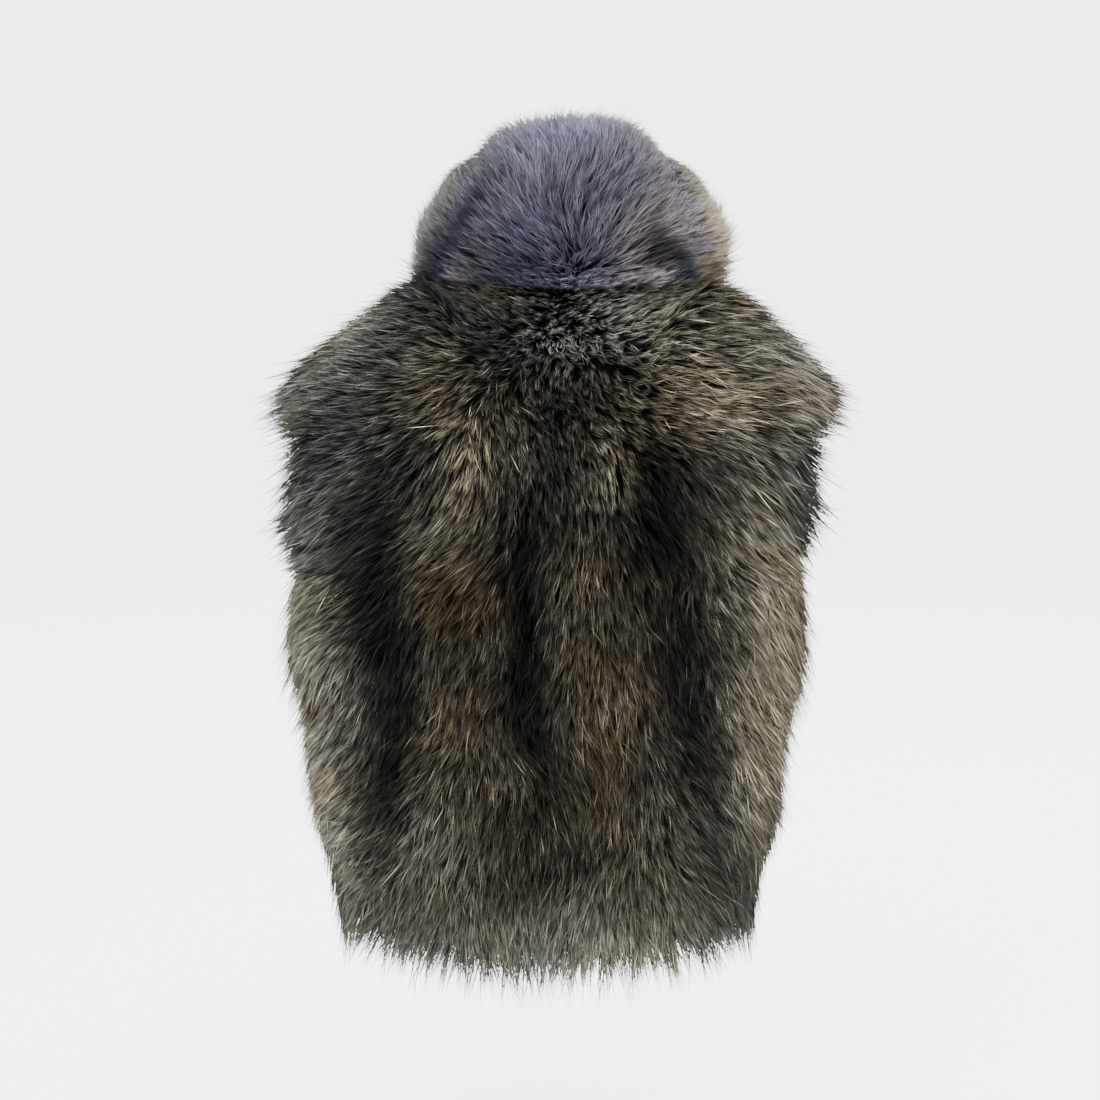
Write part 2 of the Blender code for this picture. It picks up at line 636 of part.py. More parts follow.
def main():
    for old in list(bpy.data.objects):
        bpy.data.objects.remove(old, do_unlink=True)
    build_body()
    build_hood()
    for made in bpy.context.scene.objects:
        print(made.name, len(made.data.polygons), "faces")


main()
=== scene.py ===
# %% [markdown]
# # A faux fur vest with a hood
# The vest is seen from behind, as it hangs when it is worn. It is long-pile faux fur: a thin knitted fabric
# with a dense short underfur and long guard hairs, dark at the root and light near the tip.
# The lesson builds it in the order in which it is made: the fabric's shape, the underfur on it, the way in
# which the pile is combed, the hairs themselves, and last their colours.

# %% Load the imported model
import math

import bmesh
import bpy
import numpy as np
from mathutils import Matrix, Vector


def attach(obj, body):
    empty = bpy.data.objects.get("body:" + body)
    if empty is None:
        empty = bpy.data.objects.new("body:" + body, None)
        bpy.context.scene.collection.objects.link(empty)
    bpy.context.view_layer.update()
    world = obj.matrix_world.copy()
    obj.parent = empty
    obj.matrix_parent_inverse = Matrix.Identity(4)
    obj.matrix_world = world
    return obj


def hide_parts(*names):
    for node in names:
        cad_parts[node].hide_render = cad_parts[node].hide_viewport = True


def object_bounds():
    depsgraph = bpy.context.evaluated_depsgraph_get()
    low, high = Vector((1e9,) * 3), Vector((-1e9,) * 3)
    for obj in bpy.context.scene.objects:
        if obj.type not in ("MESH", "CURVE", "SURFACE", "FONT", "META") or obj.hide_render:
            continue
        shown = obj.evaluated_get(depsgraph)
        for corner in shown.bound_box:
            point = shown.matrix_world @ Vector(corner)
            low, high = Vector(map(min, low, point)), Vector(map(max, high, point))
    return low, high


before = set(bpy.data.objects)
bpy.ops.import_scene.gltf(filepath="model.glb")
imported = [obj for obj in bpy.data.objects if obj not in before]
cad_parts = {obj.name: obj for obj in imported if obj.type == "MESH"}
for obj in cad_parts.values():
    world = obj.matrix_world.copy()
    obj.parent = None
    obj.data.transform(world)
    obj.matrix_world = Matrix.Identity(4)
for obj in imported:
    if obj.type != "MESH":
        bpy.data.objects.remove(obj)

cad_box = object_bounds()
print("solids reach", [round(float(v), 4) for corner in cad_box for v in corner])

# %% [markdown]
# ## Camera
# The photograph looks at the middle of the back from a little above it, with a normal lens from about two
# metres away. A longer lens from further off would make the hood look smaller than it does there.

# %% The camera
LOOK_AT = Vector((0.013, 0.0, -0.224))
CAMERA_PLACE = Vector((0.013, 1.99, 0.0))
LENS = 72.0
SENSOR = 36.0
bpy.ops.object.select_all(action="DESELECT")
bpy.ops.object.camera_add(location=CAMERA_PLACE)
camera = bpy.context.object
camera.name = "photo_camera"
camera.rotation_euler = (LOOK_AT - camera.location).to_track_quat("-Z", "Y").to_euler()
camera.data.lens = LENS
camera.data.sensor_width = SENSOR
bpy.context.scene.camera = camera
print("camera turned", [round(math.degrees(a), 1) for a in camera.rotation_euler])

# %% [markdown]
# ## Colours and nodes
# Colours are written as they look on a screen, in hex, and Blender works with linear light, so one function
# turns the one into the other. A second one adds any node with its settings and its links.

# %% Helpers for colours and nodes
def linear(code):
    """The linear colour of a hex code of the screen."""
    parts = [int(code[k : k + 2], 16) / 255.0 for k in (1, 3, 5)]
    return (*[p / 12.92 if p <= 0.04045 else ((p + 0.055) / 1.055) ** 2.4 for p in parts], 1.0)


def add(tree, kind, settings=None, **inputs):
    """A new node. Settings are its own values. Inputs are numbers, colours or other nodes' outputs."""
    node = tree.nodes.new(kind)
    for name, value in (settings or {}).items():
        setattr(node, name, value)
    for name, value in inputs.items():
        key = int(name[1:]) if name[0] == "_" else name.replace("_", " ")
        if isinstance(value, bpy.types.NodeSocket):
            tree.links.new(value, node.inputs[key])
        else:
            node.inputs[key].default_value = value
    return node


def new_material(name):
    """A material with an empty node tree but for its output and a shader."""
    made = bpy.data.materials.new(name)
    made.use_nodes = True
    return made, made.node_tree, made.node_tree.nodes["Principled BSDF"]


print("pale grey is", [round(v, 3) for v in linear("#D8D8D8")[:3]])

# %% [markdown]
# ## Floor and light
# The light in the photograph is soft, from all round and a little more from above, on a white ground. A
# plain sky and three large lamps give that. The lamps stand on both sides, so that the front and the sides
# are lit as well as the back. Sky and floor look much brighter to the camera than they are as light, so
# that they come out white and the dark fur still keeps its depth.

# %% The floor and the lights
FLOOR_HEIGHT = -0.78
FLOOR_SIZE = 24.0
FLOOR_GLOW = 4.1
bpy.ops.mesh.primitive_plane_add(size=FLOOR_SIZE, location=(0.0, 0.0, FLOOR_HEIGHT))
floor = bpy.context.object
floor.name = "floor"
paint, tree, shader = new_material("matt_white_floor_paint")
mottle = add(tree, "ShaderNodeTexNoise", Scale=1.2, Detail=2.0)
shade = add(tree, "ShaderNodeMix", {"data_type": "RGBA"}, Factor=mottle.outputs["Fac"])
shade.inputs["A"].default_value = linear("#E9E9EA")
shade.inputs["B"].default_value = linear("#EFEFF0")
tree.links.new(shade.outputs["Result"], shader.inputs["Base Color"])
shader.inputs["Roughness"].default_value = 0.9
shader.inputs["Emission Color"].default_value = linear("#F6F7F8")
shader.inputs["Emission Strength"].default_value = FLOOR_GLOW
floor.data.materials.append(paint)
floor.visible_diffuse = False
floor.visible_glossy = False

world = bpy.data.worlds.new("studio")
bpy.context.scene.world = world
world.use_nodes = True
SKY_ON_VEST = 1.05
SKY_IN_PICTURE = 5.0
sky = world.node_tree.nodes["Background"]
sky.inputs["Color"].default_value = linear("#F6F7F8")
way_of_light = add(world.node_tree, "ShaderNodeLightPath")
strength = add(world.node_tree, "ShaderNodeMapRange", _0=way_of_light.outputs["Is Camera Ray"])
strength.inputs["To Min"].default_value = SKY_ON_VEST
strength.inputs["To Max"].default_value = SKY_IN_PICTURE
world.node_tree.links.new(strength.outputs["Result"], sky.inputs["Strength"])

LAMPS_AIM = Vector((0.0, 0.0, -0.2))
# A row for each lamp: name, place, width, watts
LAMPS = (
    ("above_back", (0.7, 2.0, 1.9), 2.0, 75.0),
    ("above_front", (-0.9, -2.1, 1.8), 2.0, 65.0),
    ("above", (-0.3, 0.2, 2.3), 2.4, 60.0),
)
for name, place, size, watts in LAMPS:
    bpy.ops.object.light_add(type="AREA", location=place)
    lamp = bpy.context.object
    lamp.name = name
    lamp.data.size = size
    lamp.data.energy = watts
    lamp.rotation_euler = (LAMPS_AIM - lamp.location).to_track_quat("-Z", "Y").to_euler()
print("lamps", [row[0] for row in LAMPS])

# %% [markdown]
# ## The fabric's sizes
# The vest is sewn from a back, two fronts and a hood of three panels. Their fabric has the same shape as the
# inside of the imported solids, so the same sizes are written here, in metres: the neckline, the shoulders,
# and the levels of the body from the hem up. Angles are in degrees.

# %% Sizes of the body
NECK_HALF_WIDTH = 0.105
NECK_BACK_DEPTH = 0.075
NECK_FRONT_DEPTH = 0.090
NECK_HEIGHT = 0.008
NECK_FRONT_FALL = 0.45
HOOD_SEAM_ON_NECK = 22.0
SHOULDER_HALF_WIDTH = 0.206
SHOULDER_TIP_HEIGHT = -0.080
SHOULDER_BOW = 1.4
FRONT_EDGE_TOP = 0.006
FRONT_EDGE_HEM = 0.010
LEVEL_COLUMNS = ("row", "z_side", "z_back", "z_front", "half", "back", "front", "end_y", "power")
LEVELS = (
    (0, -0.522, -0.540, -0.530, 0.171, 0.120, 0.121, 0.000, 2.3),
    (8, -0.444, -0.454, -0.448, 0.182, 0.121, 0.126, 0.000, 2.4),
    (16, -0.348, -0.352, -0.350, 0.191, 0.120, 0.128, 0.000, 2.4),
    (24, -0.247, -0.247, -0.247, 0.195, 0.122, 0.128, 0.000, 2.4),
    (28, -0.208, -0.195, -0.205, 0.195, 0.124, 0.125, 0.050, 2.5),
    (32, -0.165, -0.140, -0.165, 0.200, 0.122, 0.118, 0.062, 2.6),
    (36, -0.120, -0.086, -0.125, 0.203, 0.111, 0.107, 0.044, 2.6),
)
LAST_LEVEL_ROW = 36
BODY_ROWS = 46
SHOULDER_COLUMNS = 10
BACK_NECK_COLUMNS = 20
FRONT_NECK_COLUMNS = 12
HOOD_CENTRE_COLUMNS = 16
ACROSS_BACK = np.array([0.0, -1.0, 0.10])
ACROSS_FRONT = np.array([0.0, 1.0, NECK_FRONT_FALL])
RISING_BACK = np.array([0.0, -0.55, 0.85])
RISING_FRONT = np.array([0.0, 0.30, 1.0])
RISING_FROM_ANGLE = 45.0
NECK_FAN = 0.55
NECK_FAN_REACH = 0.060
TOP_ROUNDNESS = 1.15
hem_width, chest_width = (round(2 * LEVELS[k][4], 3) for k in (0, 3))
print("fabric is", chest_width, "m wide at the chest and", hem_width, "at the hem")

# %% Helpers for curves
def smooth(t):
    """Goes from 0 to 1 with no slope at either end."""
    t = np.clip(t, 0.0, 1.0)
    return t * t * (3.0 - 2.0 * t)


def between(value, limits):
    """Goes smoothly from 0 at the first limit to 1 at the second."""
    return smooth((value - limits[0]) / (limits[1] - limits[0]))


def unit(v):
    return v / np.maximum(np.linalg.norm(v, axis=-1, keepdims=True), 1e-12)


def curve_through(keys, values, at):
    """A smooth curve through values at rising keys, read at the given places."""
    keys = np.asarray(keys, float)
    values = np.asarray(values, float)
    slopes = np.gradient(values, keys, axis=0)
    k = np.clip(np.searchsorted(keys, at, side="right") - 1, 0, len(keys) - 2)
    step = keys[k + 1] - keys[k]
    t = ((at - keys[k]) / step)[:, None]
    step = step[:, None]
    keep = 2 * t**3 - 3 * t**2 + 1
    bent = (t**3 - 2 * t**2 + t) * slopes[k] * step + (t**3 - t**2) * slopes[k + 1] * step
    return keep * values[k] + (1 - keep) * values[k + 1] + bent


def spaced(points, fractions):
    """Points along a polyline at the given fractions of its length."""
    steps = np.linalg.norm(np.diff(points, axis=0), axis=1)
    along = np.concatenate([[0.0], np.cumsum(steps)]) / steps.sum()
    return np.stack([np.interp(fractions, along, points[:, k]) for k in range(3)], 1)


def spaced_by_index(points, count):
    """Points on a polyline, the same number of them on each of its segments."""
    at = np.linspace(0.0, len(points) - 1.0, count + 1)
    return np.stack([np.interp(at, np.arange(len(points)), points[:, k]) for k in range(3)], 1)


def mirrored(points):
    return points * (-1.0, 1.0, 1.0)


print("half way along a smooth step:", float(smooth(0.5)))

# %% [markdown]
# ## The fabric of the body
# Each level of the body is half of a squared ellipse, wider and flatter than a round tube, as a garment on
# shoulders is. Above the last level the columns round over to the shoulder seam and the neckline. Operators
# can't draw such a surface from a table of sizes, so it is worked out as a grid of points.

# %% Lines of the body
ROW_POINTS = 240


def level_table():
    """The levels as smooth columns, one value for each row up to the last level."""
    table = np.array(LEVELS)
    found = curve_through(table[:, 0], table[:, 1:], np.arange(LAST_LEVEL_ROW + 1, dtype=float))
    return {name: found[:, k] for k, name in enumerate(LEVEL_COLUMNS[1:])}


def half_row(half, depth, end_y, power, z_side, z_middle, start_x):
    """A row from its outer end to the middle, on a squared ellipse, with y positive."""
    end_angle = math.acos(min(max(end_y, 0.0) / depth, 1.0) ** (power / 2))
    widest = half / max(math.sin(end_angle), 1e-6) ** (2 / power)
    angle = np.linspace(end_angle, 0.0, ROW_POINTS)
    x = widest * np.abs(np.sin(angle)) ** (2 / power)
    y = depth * np.abs(np.cos(angle)) ** (2 / power)
    z = z_middle + (z_side - z_middle) * (x / half) ** 2
    return np.stack([x, y, z], 1)[x >= start_x]


def neck_point(angle, front):
    """A point of the neckline, at an angle from the side of the neck to the middle of the back or front."""
    y = math.sin(angle) * (-NECK_FRONT_DEPTH if front else NECK_BACK_DEPTH)
    z = NECK_HEIGHT + (NECK_FRONT_FALL * y if front else 0.0)
    return np.array([NECK_HALF_WIDTH * math.cos(angle), y, z])


def shoulder_line(count):
    """The shoulder seam from the tip to the neck, slightly bowed."""
    t = np.linspace(0.0, 1.0, count + 1)[:-1]
    x = SHOULDER_HALF_WIDTH + (NECK_HALF_WIDTH - SHOULDER_HALF_WIDTH) * t
    z = NECK_HEIGHT + (SHOULDER_TIP_HEIGHT - NECK_HEIGHT) * (1.0 - t) ** SHOULDER_BOW
    return np.stack([x, np.zeros(count), z], 1)


def rounded_top(last, top, arrival, rows):
    """Rows from the last level to the top edge. Each column starts straight up and ends its own way."""
    t = (np.arange(1, rows + 1) / rows)[:, None, None]
    reach = np.linalg.norm(top - last, axis=1)[:, None]
    start = np.array([0.0, 0.0, TOP_ROUNDNESS]) * reach
    end = unit(arrival) * reach * TOP_ROUNDNESS
    keep = 2 * t**3 - 3 * t**2 + 1
    return list(keep * last + (t**3 - 2 * t**2 + t) * start + (1 - keep) * top + (t**3 - t**2) * end)


def arrivals(top, neck_angles, front):
    """The way in which each column comes to the top edge, fanned out round the side of the neck."""
    across, rising = (ACROSS_FRONT, RISING_FRONT) if front else (ACROSS_BACK, RISING_BACK)
    share = smooth(neck_angles / math.radians(RISING_FROM_ANGLE))[:, None]
    found = across * (1.0 - share) + rising * share
    past_neck = np.abs(top[:, 0]) - NECK_HALF_WIDTH
    fan = NECK_FAN * np.cos(neck_angles) * (1.0 - smooth(past_neck / NECK_FAN_REACH))
    found[:, 0] = -np.sign(top[:, 0]) * fan
    return found


print("shoulder seam", round(float(np.linalg.norm(shoulder_line(10)[0] - neck_point(0.0, False))), 3), "m")

# %% Grids of the back and of the left front
def back_neck_line():
    """The back neckline from left to right, with a point at each hood seam, and its angles."""
    middle = np.linspace(HOOD_SEAM_ON_NECK, 180.0 - HOOD_SEAM_ON_NECK, HOOD_CENTRE_COLUMNS + 1)
    side = HOOD_SEAM_ON_NECK / 2
    angles = np.radians(np.concatenate([[0.0, side], middle, [180.0 - side, 180.0]]))
    return np.array([neck_point(angle, False) for angle in angles]), angles


def front_neck_line():
    """The left front's neckline from the side of the neck to the front edge, and its angles."""
    angles = np.linspace(0.0, math.acos(FRONT_EDGE_TOP / NECK_HALF_WIDTH), FRONT_NECK_COLUMNS + 1)
    return np.array([neck_point(angle, True) for angle in angles]), angles


def back_base():
    """The back's fabric as a grid of points, rows from the hem up, columns from left to right."""
    table = level_table()
    fractions = np.linspace(0.0, 1.0, (2 * SHOULDER_COLUMNS + BACK_NECK_COLUMNS) // 2 + 1)
    grid = []
    for i in range(LAST_LEVEL_ROW + 1):
        sizes = [table[n][i] for n in ("half", "back", "end_y", "power", "z_side", "z_back")]
        left = spaced(half_row(*sizes, 0.0), fractions)
        grid.append(np.concatenate([left, mirrored(left)[-2::-1]]))
    neck, angles = back_neck_line()
    shoulder = shoulder_line(SHOULDER_COLUMNS)
    top = np.concatenate([shoulder, neck, mirrored(shoulder)[::-1]])
    none = np.zeros(SHOULDER_COLUMNS)
    turns = np.concatenate([none, np.minimum(angles, math.pi - angles), none])
    grid += rounded_top(grid[-1], top, arrivals(top, turns, False), BODY_ROWS - LAST_LEVEL_ROW)
    return np.array(grid)


def front_base():
    """The left front's fabric, rows from the hem up, columns from the front edge to the side."""
    table = level_table()
    fractions = np.linspace(0.0, 1.0, SHOULDER_COLUMNS + FRONT_NECK_COLUMNS + 1)
    grid = []
    for i in range(LAST_LEVEL_ROW + 1):
        edge = FRONT_EDGE_HEM + (FRONT_EDGE_TOP - FRONT_EDGE_HEM) * i / BODY_ROWS
        sizes = [table[n][i] for n in ("half", "front", "end_y", "power", "z_side", "z_front")]
        grid.append(spaced(half_row(*sizes, edge), fractions)[::-1] * (1.0, -1.0, 1.0))
    neck, angles = front_neck_line()
    top = np.concatenate([neck[::-1], shoulder_line(SHOULDER_COLUMNS)[::-1]])
    turns = np.concatenate([angles[::-1], np.zeros(SHOULDER_COLUMNS)])
    grid += rounded_top(grid[-1], top, arrivals(top, turns, True), BODY_ROWS - LAST_LEVEL_ROW)
    return np.array(grid)


print("back", back_base().shape[:2], "front", front_base().shape[:2], "points")

# %% [markdown]
# ## The fabric of the hood
# The hood stands up from the neckline in arches. Its crest is a smooth line in the middle plane, from the
# back neckline over the crown to the face. Each arch falls from that line to its own foot on the neckline,
# and two seams divide it into a middle panel and two sides.

# %% The hood's grid
CREST_COLUMNS = ("v", "y", "z", "half", "widest", "seam_angle", "pointed")
CREST = (
    (0.00, 0.075, 0.008, 0.105, 1.00, 68.0, 1.00),
    (0.16, 0.094, 0.045, 0.106, 0.90, 63.0, 0.94),
    (0.34, 0.094, 0.092, 0.111, 0.76, 53.0, 0.95),
    (0.54, 0.058, 0.127, 0.116, 0.70, 47.0, 1.08),
    (0.78, -0.012, 0.139, 0.118, 0.68, 44.0, 1.18),
    (1.00, -0.072, 0.124, 0.115, 0.64, 42.0, 1.15),
)
ARCH_BEND = np.array([0.12, 0.80])
BENT_FROM_V = 0.30
WIDE_FROM_V = 0.20
ARCH_NARROWING = 1.6
ARCH_POINTS = 160
HOOD_ROWS = 24
HOOD_SIDE_COLUMNS = 14


def hood_arch(v, foot):
    """Half of one arch of the hood, from its crest to its foot on the neckline, and where its seam lies."""
    table = np.array(CREST)
    here = dict(zip(CREST_COLUMNS[1:], curve_through(table[:, 0], table[:, 1:], np.array([v]))[0]))
    crest = np.array([here["y"], here["z"]])
    bend = foot[1:] + (crest - foot[1:]) * ARCH_BEND
    widest = min(here["widest"], 0.995)
    half = foot[0] + (here["half"] - foot[0]) * smooth(v / WIDE_FROM_V)
    turn = np.linspace(0.0, math.pi / 2, ARCH_POINTS)
    fall = np.linspace(0.0, 1.0, ARCH_POINTS)[1:]
    upper = half * np.sin(turn) ** here["pointed"]
    lower = half + (foot[0] - half) * fall**ARCH_NARROWING
    down = np.concatenate([widest * (1.0 - np.cos(turn)), widest + (1.0 - widest) * fall])[:, None]
    back = 1.0 - ARCH_BEND[0]
    level = (back - np.sqrt(back**2 - (2.0 * back - 1.0) * down)) / (2.0 * back - 1.0)
    down = level + (down - level) * smooth(v / BENT_FROM_V)
    line = (1.0 - down) ** 2 * crest + 2.0 * down * (1.0 - down) * bend + down**2 * foot[1:]
    seam = int(round(here["seam_angle"] / 90.0 * (ARCH_POINTS - 1)))
    return np.column_stack([np.concatenate([upper, lower]), line]), seam


def hood_base():
    """The fabric of the hood, rows from the back neckline to the face, columns from left foot to right."""
    back, _ = back_neck_line()
    feet = spaced_by_index(front_neck_line()[0], HOOD_ROWS)
    short = spaced_by_index(back[:3], HOOD_SIDE_COLUMNS)
    grid = [np.concatenate([short[:-1], back[2:-2], mirrored(short)[-2::-1]])]
    for i in range(1, HOOD_ROWS + 1):
        points, seam = hood_arch(i / HOOD_ROWS, feet[i])
        half = spaced(points[: seam + 1], np.linspace(1.0, 0.0, HOOD_CENTRE_COLUMNS // 2 + 1))
        side = spaced(points[seam:], np.linspace(1.0, 0.0, HOOD_SIDE_COLUMNS + 1))
        left = np.concatenate([side[:-1], half])
        grid.append(np.concatenate([left, mirrored(left)[-2::-1]]))
    return np.array(grid)


print("hood", hood_base().shape[:2], "points")

# %% [markdown]
# ## How high the pile stands
# The pile is 27 mm high over most of the vest. It is lower at the hem, where the hairs lie down, and at the
# seams, which draw it in. Long ridges run down the body, because the pelts that the fur imitates were sewn
# side by side. The height is kept as an arrow from each point of the fabric to the surface of the pile.

# %% Sizes of the pile
PILE = 0.027
PILE_AT_HEM = 0.015
HEM_PILE_LEAST = 0.35
HEM_PILE_REACH = 0.060
PILE_AT_NECK = 0.022
PILE_IN_HOOD_SEAM = 0.019
HOOD_SEAM_REACH = 0.030
PILE_OF_FULL_SIDE = 0.006
FULL_SIDE_FROM = 0.66
FULL_SIDE_COLUMNS = 4.0
FULL_SIDE_FROM_FOOT = 0.070
FLATTER_AT_FACE = 0.30
FLATTER_AT_ARM = 0.20
SPILL_REACH = 0.110
FACE_REACH = 0.080
FACE_POWER = 1.5
ARM_ROWS = (23.0, 35.0)
SIDE_SEAM_REACH = 0.030
NECK_RISE_AT_SIDE = 0.45
NECK_RISE_AT_BACK = 0.12
NECK_RISE_AT_FRONT = -0.20
NECK_SIDE_SHARE = 0.75
NECK_SIDE_REACH = 0.39
CREASE_REACH = 0.050
CREASE_COLUMNS = 5
RIDGE = 0.0075
RIDGE_WIDTH = 0.038
RIDGE_WANDER = 0.006
RIDGE_WAVES = 9.0
RIDGE_PHASE = 60.0
RIDGE_LOSS_AT_ARM = 0.7
BACK_RIDGES = ((0.205, 0.190), (0.078, 0.082), (-0.036, -0.038), (-0.195, -0.178))
FRONT_RIDGES = ((0.195, 0.180), (0.090, 0.088), (0.030, 0.034))


def normals_of(grid, inside):
    """Unit normals of a grid, turned so that they point away from a place inside it."""
    found = unit(np.cross(np.gradient(grid, axis=1), np.gradient(grid, axis=0)))
    middle = grid.shape[0] // 2, grid.shape[1] // 2
    return -found if found[middle] @ (grid[middle] - inside) < 0 else found


def distance_from(grid, axis, end):
    """Length along each grid line from one end of it."""
    steps = np.linalg.norm(np.diff(grid, axis=axis), axis=2)
    none = np.zeros_like(np.take(steps, [0], axis=axis))
    total = np.concatenate([none, np.cumsum(steps, axis=axis)], axis=axis)
    return np.take(total, [-1], axis=axis) - total if end else total


def ridges(grid, crests):
    """Long soft ridges down the panel, from -1 between them to 1 on them."""
    low = grid[0, 0, 2]
    up = (grid[:, :, 2] - low) / (NECK_HEIGHT - low)
    found = np.zeros(grid.shape[:2])
    for top, hem in crests:
        middle = hem + (top - hem) * up + RIDGE_WANDER * np.sin(up * RIDGE_WAVES + top * RIDGE_PHASE)
        found = np.maximum(found, np.exp(-(((grid[:, :, 0] - middle) / RIDGE_WIDTH) ** 2)))
    return 2.0 * found - 1.0


def neck_ways(grid):
    """Ways out from the middle of the neck along the neck seam, and the height of the pile there."""
    way = unit(grid * (1.0, 1.0, 0.0))
    share = np.minimum(np.abs(way[:, :, 1]) / NECK_SIDE_REACH, 1.0)
    height = PILE_AT_NECK * (NECK_SIDE_SHARE + (1.0 - NECK_SIDE_SHARE) * share)
    middle_rise = np.where(way[:, :, 1] < 0.0, NECK_RISE_AT_FRONT, NECK_RISE_AT_BACK)
    way[:, :, 2] = NECK_RISE_AT_SIDE * (1.0 - way[:, :, 1] ** 2) + middle_rise * way[:, :, 1] ** 2
    return unit(way), height


def near_neck_columns(columns, front):
    """1 on the columns that end at the neckline, falling to 0 along the shoulder."""
    from_end = np.minimum(np.arange(columns) if not front else columns, np.arange(columns)[::-1])
    return smooth((from_end - SHOULDER_COLUMNS) / CREASE_COLUMNS + 1.0)


print("pile", PILE * 1000, "mm")

# %% Pile on the body and on the hood
def body_pile(grid, normals, arm_ends, front, crests):
    """Arrows from the fabric to the surface of the pile on a body panel."""
    from_hem = distance_from(grid, 0, False)
    to_top = distance_from(grid, 0, True)
    arm = between(np.arange(grid.shape[0])[:, None], ARM_ROWS)
    side = 0.0 * from_hem
    for end in arm_ends:
        side = np.maximum(side, 1.0 - smooth(distance_from(grid, 1, end) / SPILL_REACH))
    height = PILE + RIDGE * ridges(grid, crests) * (1.0 - RIDGE_LOSS_AT_ARM * arm)
    full = HEM_PILE_LEAST + (1.0 - HEM_PILE_LEAST) * smooth(from_hem / HEM_PILE_REACH)
    height = PILE_AT_HEM + (height - PILE_AT_HEM) * full
    height = height * (1.0 - FLATTER_AT_ARM * side * arm)
    near = (1.0 - smooth(to_top / CREASE_REACH)) * near_neck_columns(grid.shape[1], front)[None, :]
    seam_way, seam_height = neck_ways(grid)
    way = unit(normals * (1.0 - near)[:, :, None] + seam_way * near[:, :, None])
    pile = way * (height + (seam_height - height) * near)[:, :, None]
    pile[:, :, 1] *= smooth(np.abs(grid[:, :, 1]) / SIDE_SEAM_REACH)
    return pile


def hood_pile(grid, normals):
    """Arrows from the fabric to the surface of the pile, all over the hood."""
    columns = grid.shape[1]
    from_left = distance_from(grid, 1, False)
    from_foot = np.minimum(from_left, distance_from(grid, 1, True))
    face = (1.0 - np.minimum(distance_from(grid, 0, True) / FACE_REACH, 1.0)) ** FACE_POWER
    on_right = smooth((np.arange(columns) - columns * FULL_SIDE_FROM) / FULL_SIDE_COLUMNS)[None, :]
    fuller = on_right * (1.0 - face) * smooth(from_foot / FULL_SIDE_FROM_FOOT)
    height = PILE + PILE_OF_FULL_SIDE * fuller
    for seam in (HOOD_SIDE_COLUMNS, columns - 1 - HOOD_SIDE_COLUMNS):
        gone = np.abs(from_left - from_left[:, seam : seam + 1])
        height = height + (PILE_IN_HOOD_SEAM - height) * (1.0 - smooth(gone / HOOD_SEAM_REACH))
    height = height * (1.0 - FLATTER_AT_FACE * face)
    near = 1.0 - smooth(np.minimum(from_foot, distance_from(grid, 0, False)) / CREASE_REACH)
    seam_way, seam_height = neck_ways(grid)
    way = unit(normals * (1.0 - near)[:, :, None] + seam_way * near[:, :, None])
    return way * (height + (seam_height - height) * near)[:, :, None]


BACK_INSIDE = np.array([0.0, -0.2, -0.25])
FRONT_INSIDE = np.array([0.1, 0.2, -0.25])
HOOD_INSIDE = np.array([0.0, 0.0, 0.05])
heights = np.linalg.norm(hood_pile(hood_base(), normals_of(hood_base(), HOOD_INSIDE)), axis=2)
print("highest pile on the hood", round(float(heights.max()) * 1000, 1), "mm")

# %% [markdown]
# ## Creases
# Faux fur is stiff, so it has few creases, and they are broad. Each is a soft trough or ridge, placed where
# the photograph shows one: a line in the plane of the back, its half width and its depth. The fronts, which
# the photograph doesn't show, get a few like them. A negative depth is a ridge.

# %% Troughs and ridges
CREASE_SHARE = 0.75
CREASE_SWING = 0.25
CREASE_WAVES = 9.0
CREASE_PHASE = 70.0
# A row for each crease: its first end in x and z, its second end, its half width and its depth
BACK_CREASES = (
    (0.150, -0.170, 0.152, -0.450, 0.017, 0.0075),
    (0.034, -0.190, 0.028, -0.370, 0.011, 0.0050),
    (-0.070, -0.140, -0.118, -0.500, 0.018, 0.0080),
    (0.190, -0.465, 0.178, -0.500, 0.010, 0.0060),
    (-0.188, -0.225, -0.193, -0.290, 0.009, 0.0080),
    (-0.163, -0.480, -0.168, -0.520, 0.008, 0.0070),
    (0.108, -0.095, 0.125, -0.150, 0.012, 0.0030),
    (-0.010, -0.060, -0.013, -0.120, 0.020, -0.0030),
    (0.060, -0.400, 0.072, -0.520, 0.022, -0.0035),
    (-0.060, -0.420, -0.050, -0.530, 0.016, 0.0030),
)
FRONT_CREASES = (
    (0.138, -0.180, 0.134, -0.420, 0.016, 0.0070),
    (0.062, -0.230, 0.058, -0.470, 0.012, 0.0050),
    (0.170, -0.440, 0.160, -0.500, 0.009, 0.0050),
    (0.110, -0.080, 0.120, -0.150, 0.014, 0.0030),
)
HOOD_CREASES = (
    (0.070, 0.085, 0.104, 0.012, 0.009, 0.0050),
    (-0.060, 0.052, -0.078, 0.040, 0.010, 0.0050),
    (-0.084, 0.036, -0.106, 0.004, 0.010, 0.0060),
    (0.020, 0.030, -0.030, 0.026, 0.014, 0.0030),
)


def creases(points, table):
    """How deep each point lies in the creases of a table, in metres."""
    found = np.zeros(points.shape[:-1])
    for x1, z1, x2, z2, half_width, depth in table:
        start, way = np.array([x1, z1]), np.array([x2 - x1, z2 - z1])
        flat = points[..., [0, 2]] - start
        share = np.clip(flat @ way / (way @ way), 0.0, 1.0)
        off = np.linalg.norm(flat - share[..., None] * way, axis=-1)
        uneven = CREASE_SHARE + CREASE_SWING * np.sin(share * CREASE_WAVES + x1 * CREASE_PHASE)
        found += depth * uneven * np.exp(-((off / half_width) ** 2))
    return found


print("creases on back, front and hood:", len(BACK_CREASES), len(FRONT_CREASES), len(HOOD_CREASES))

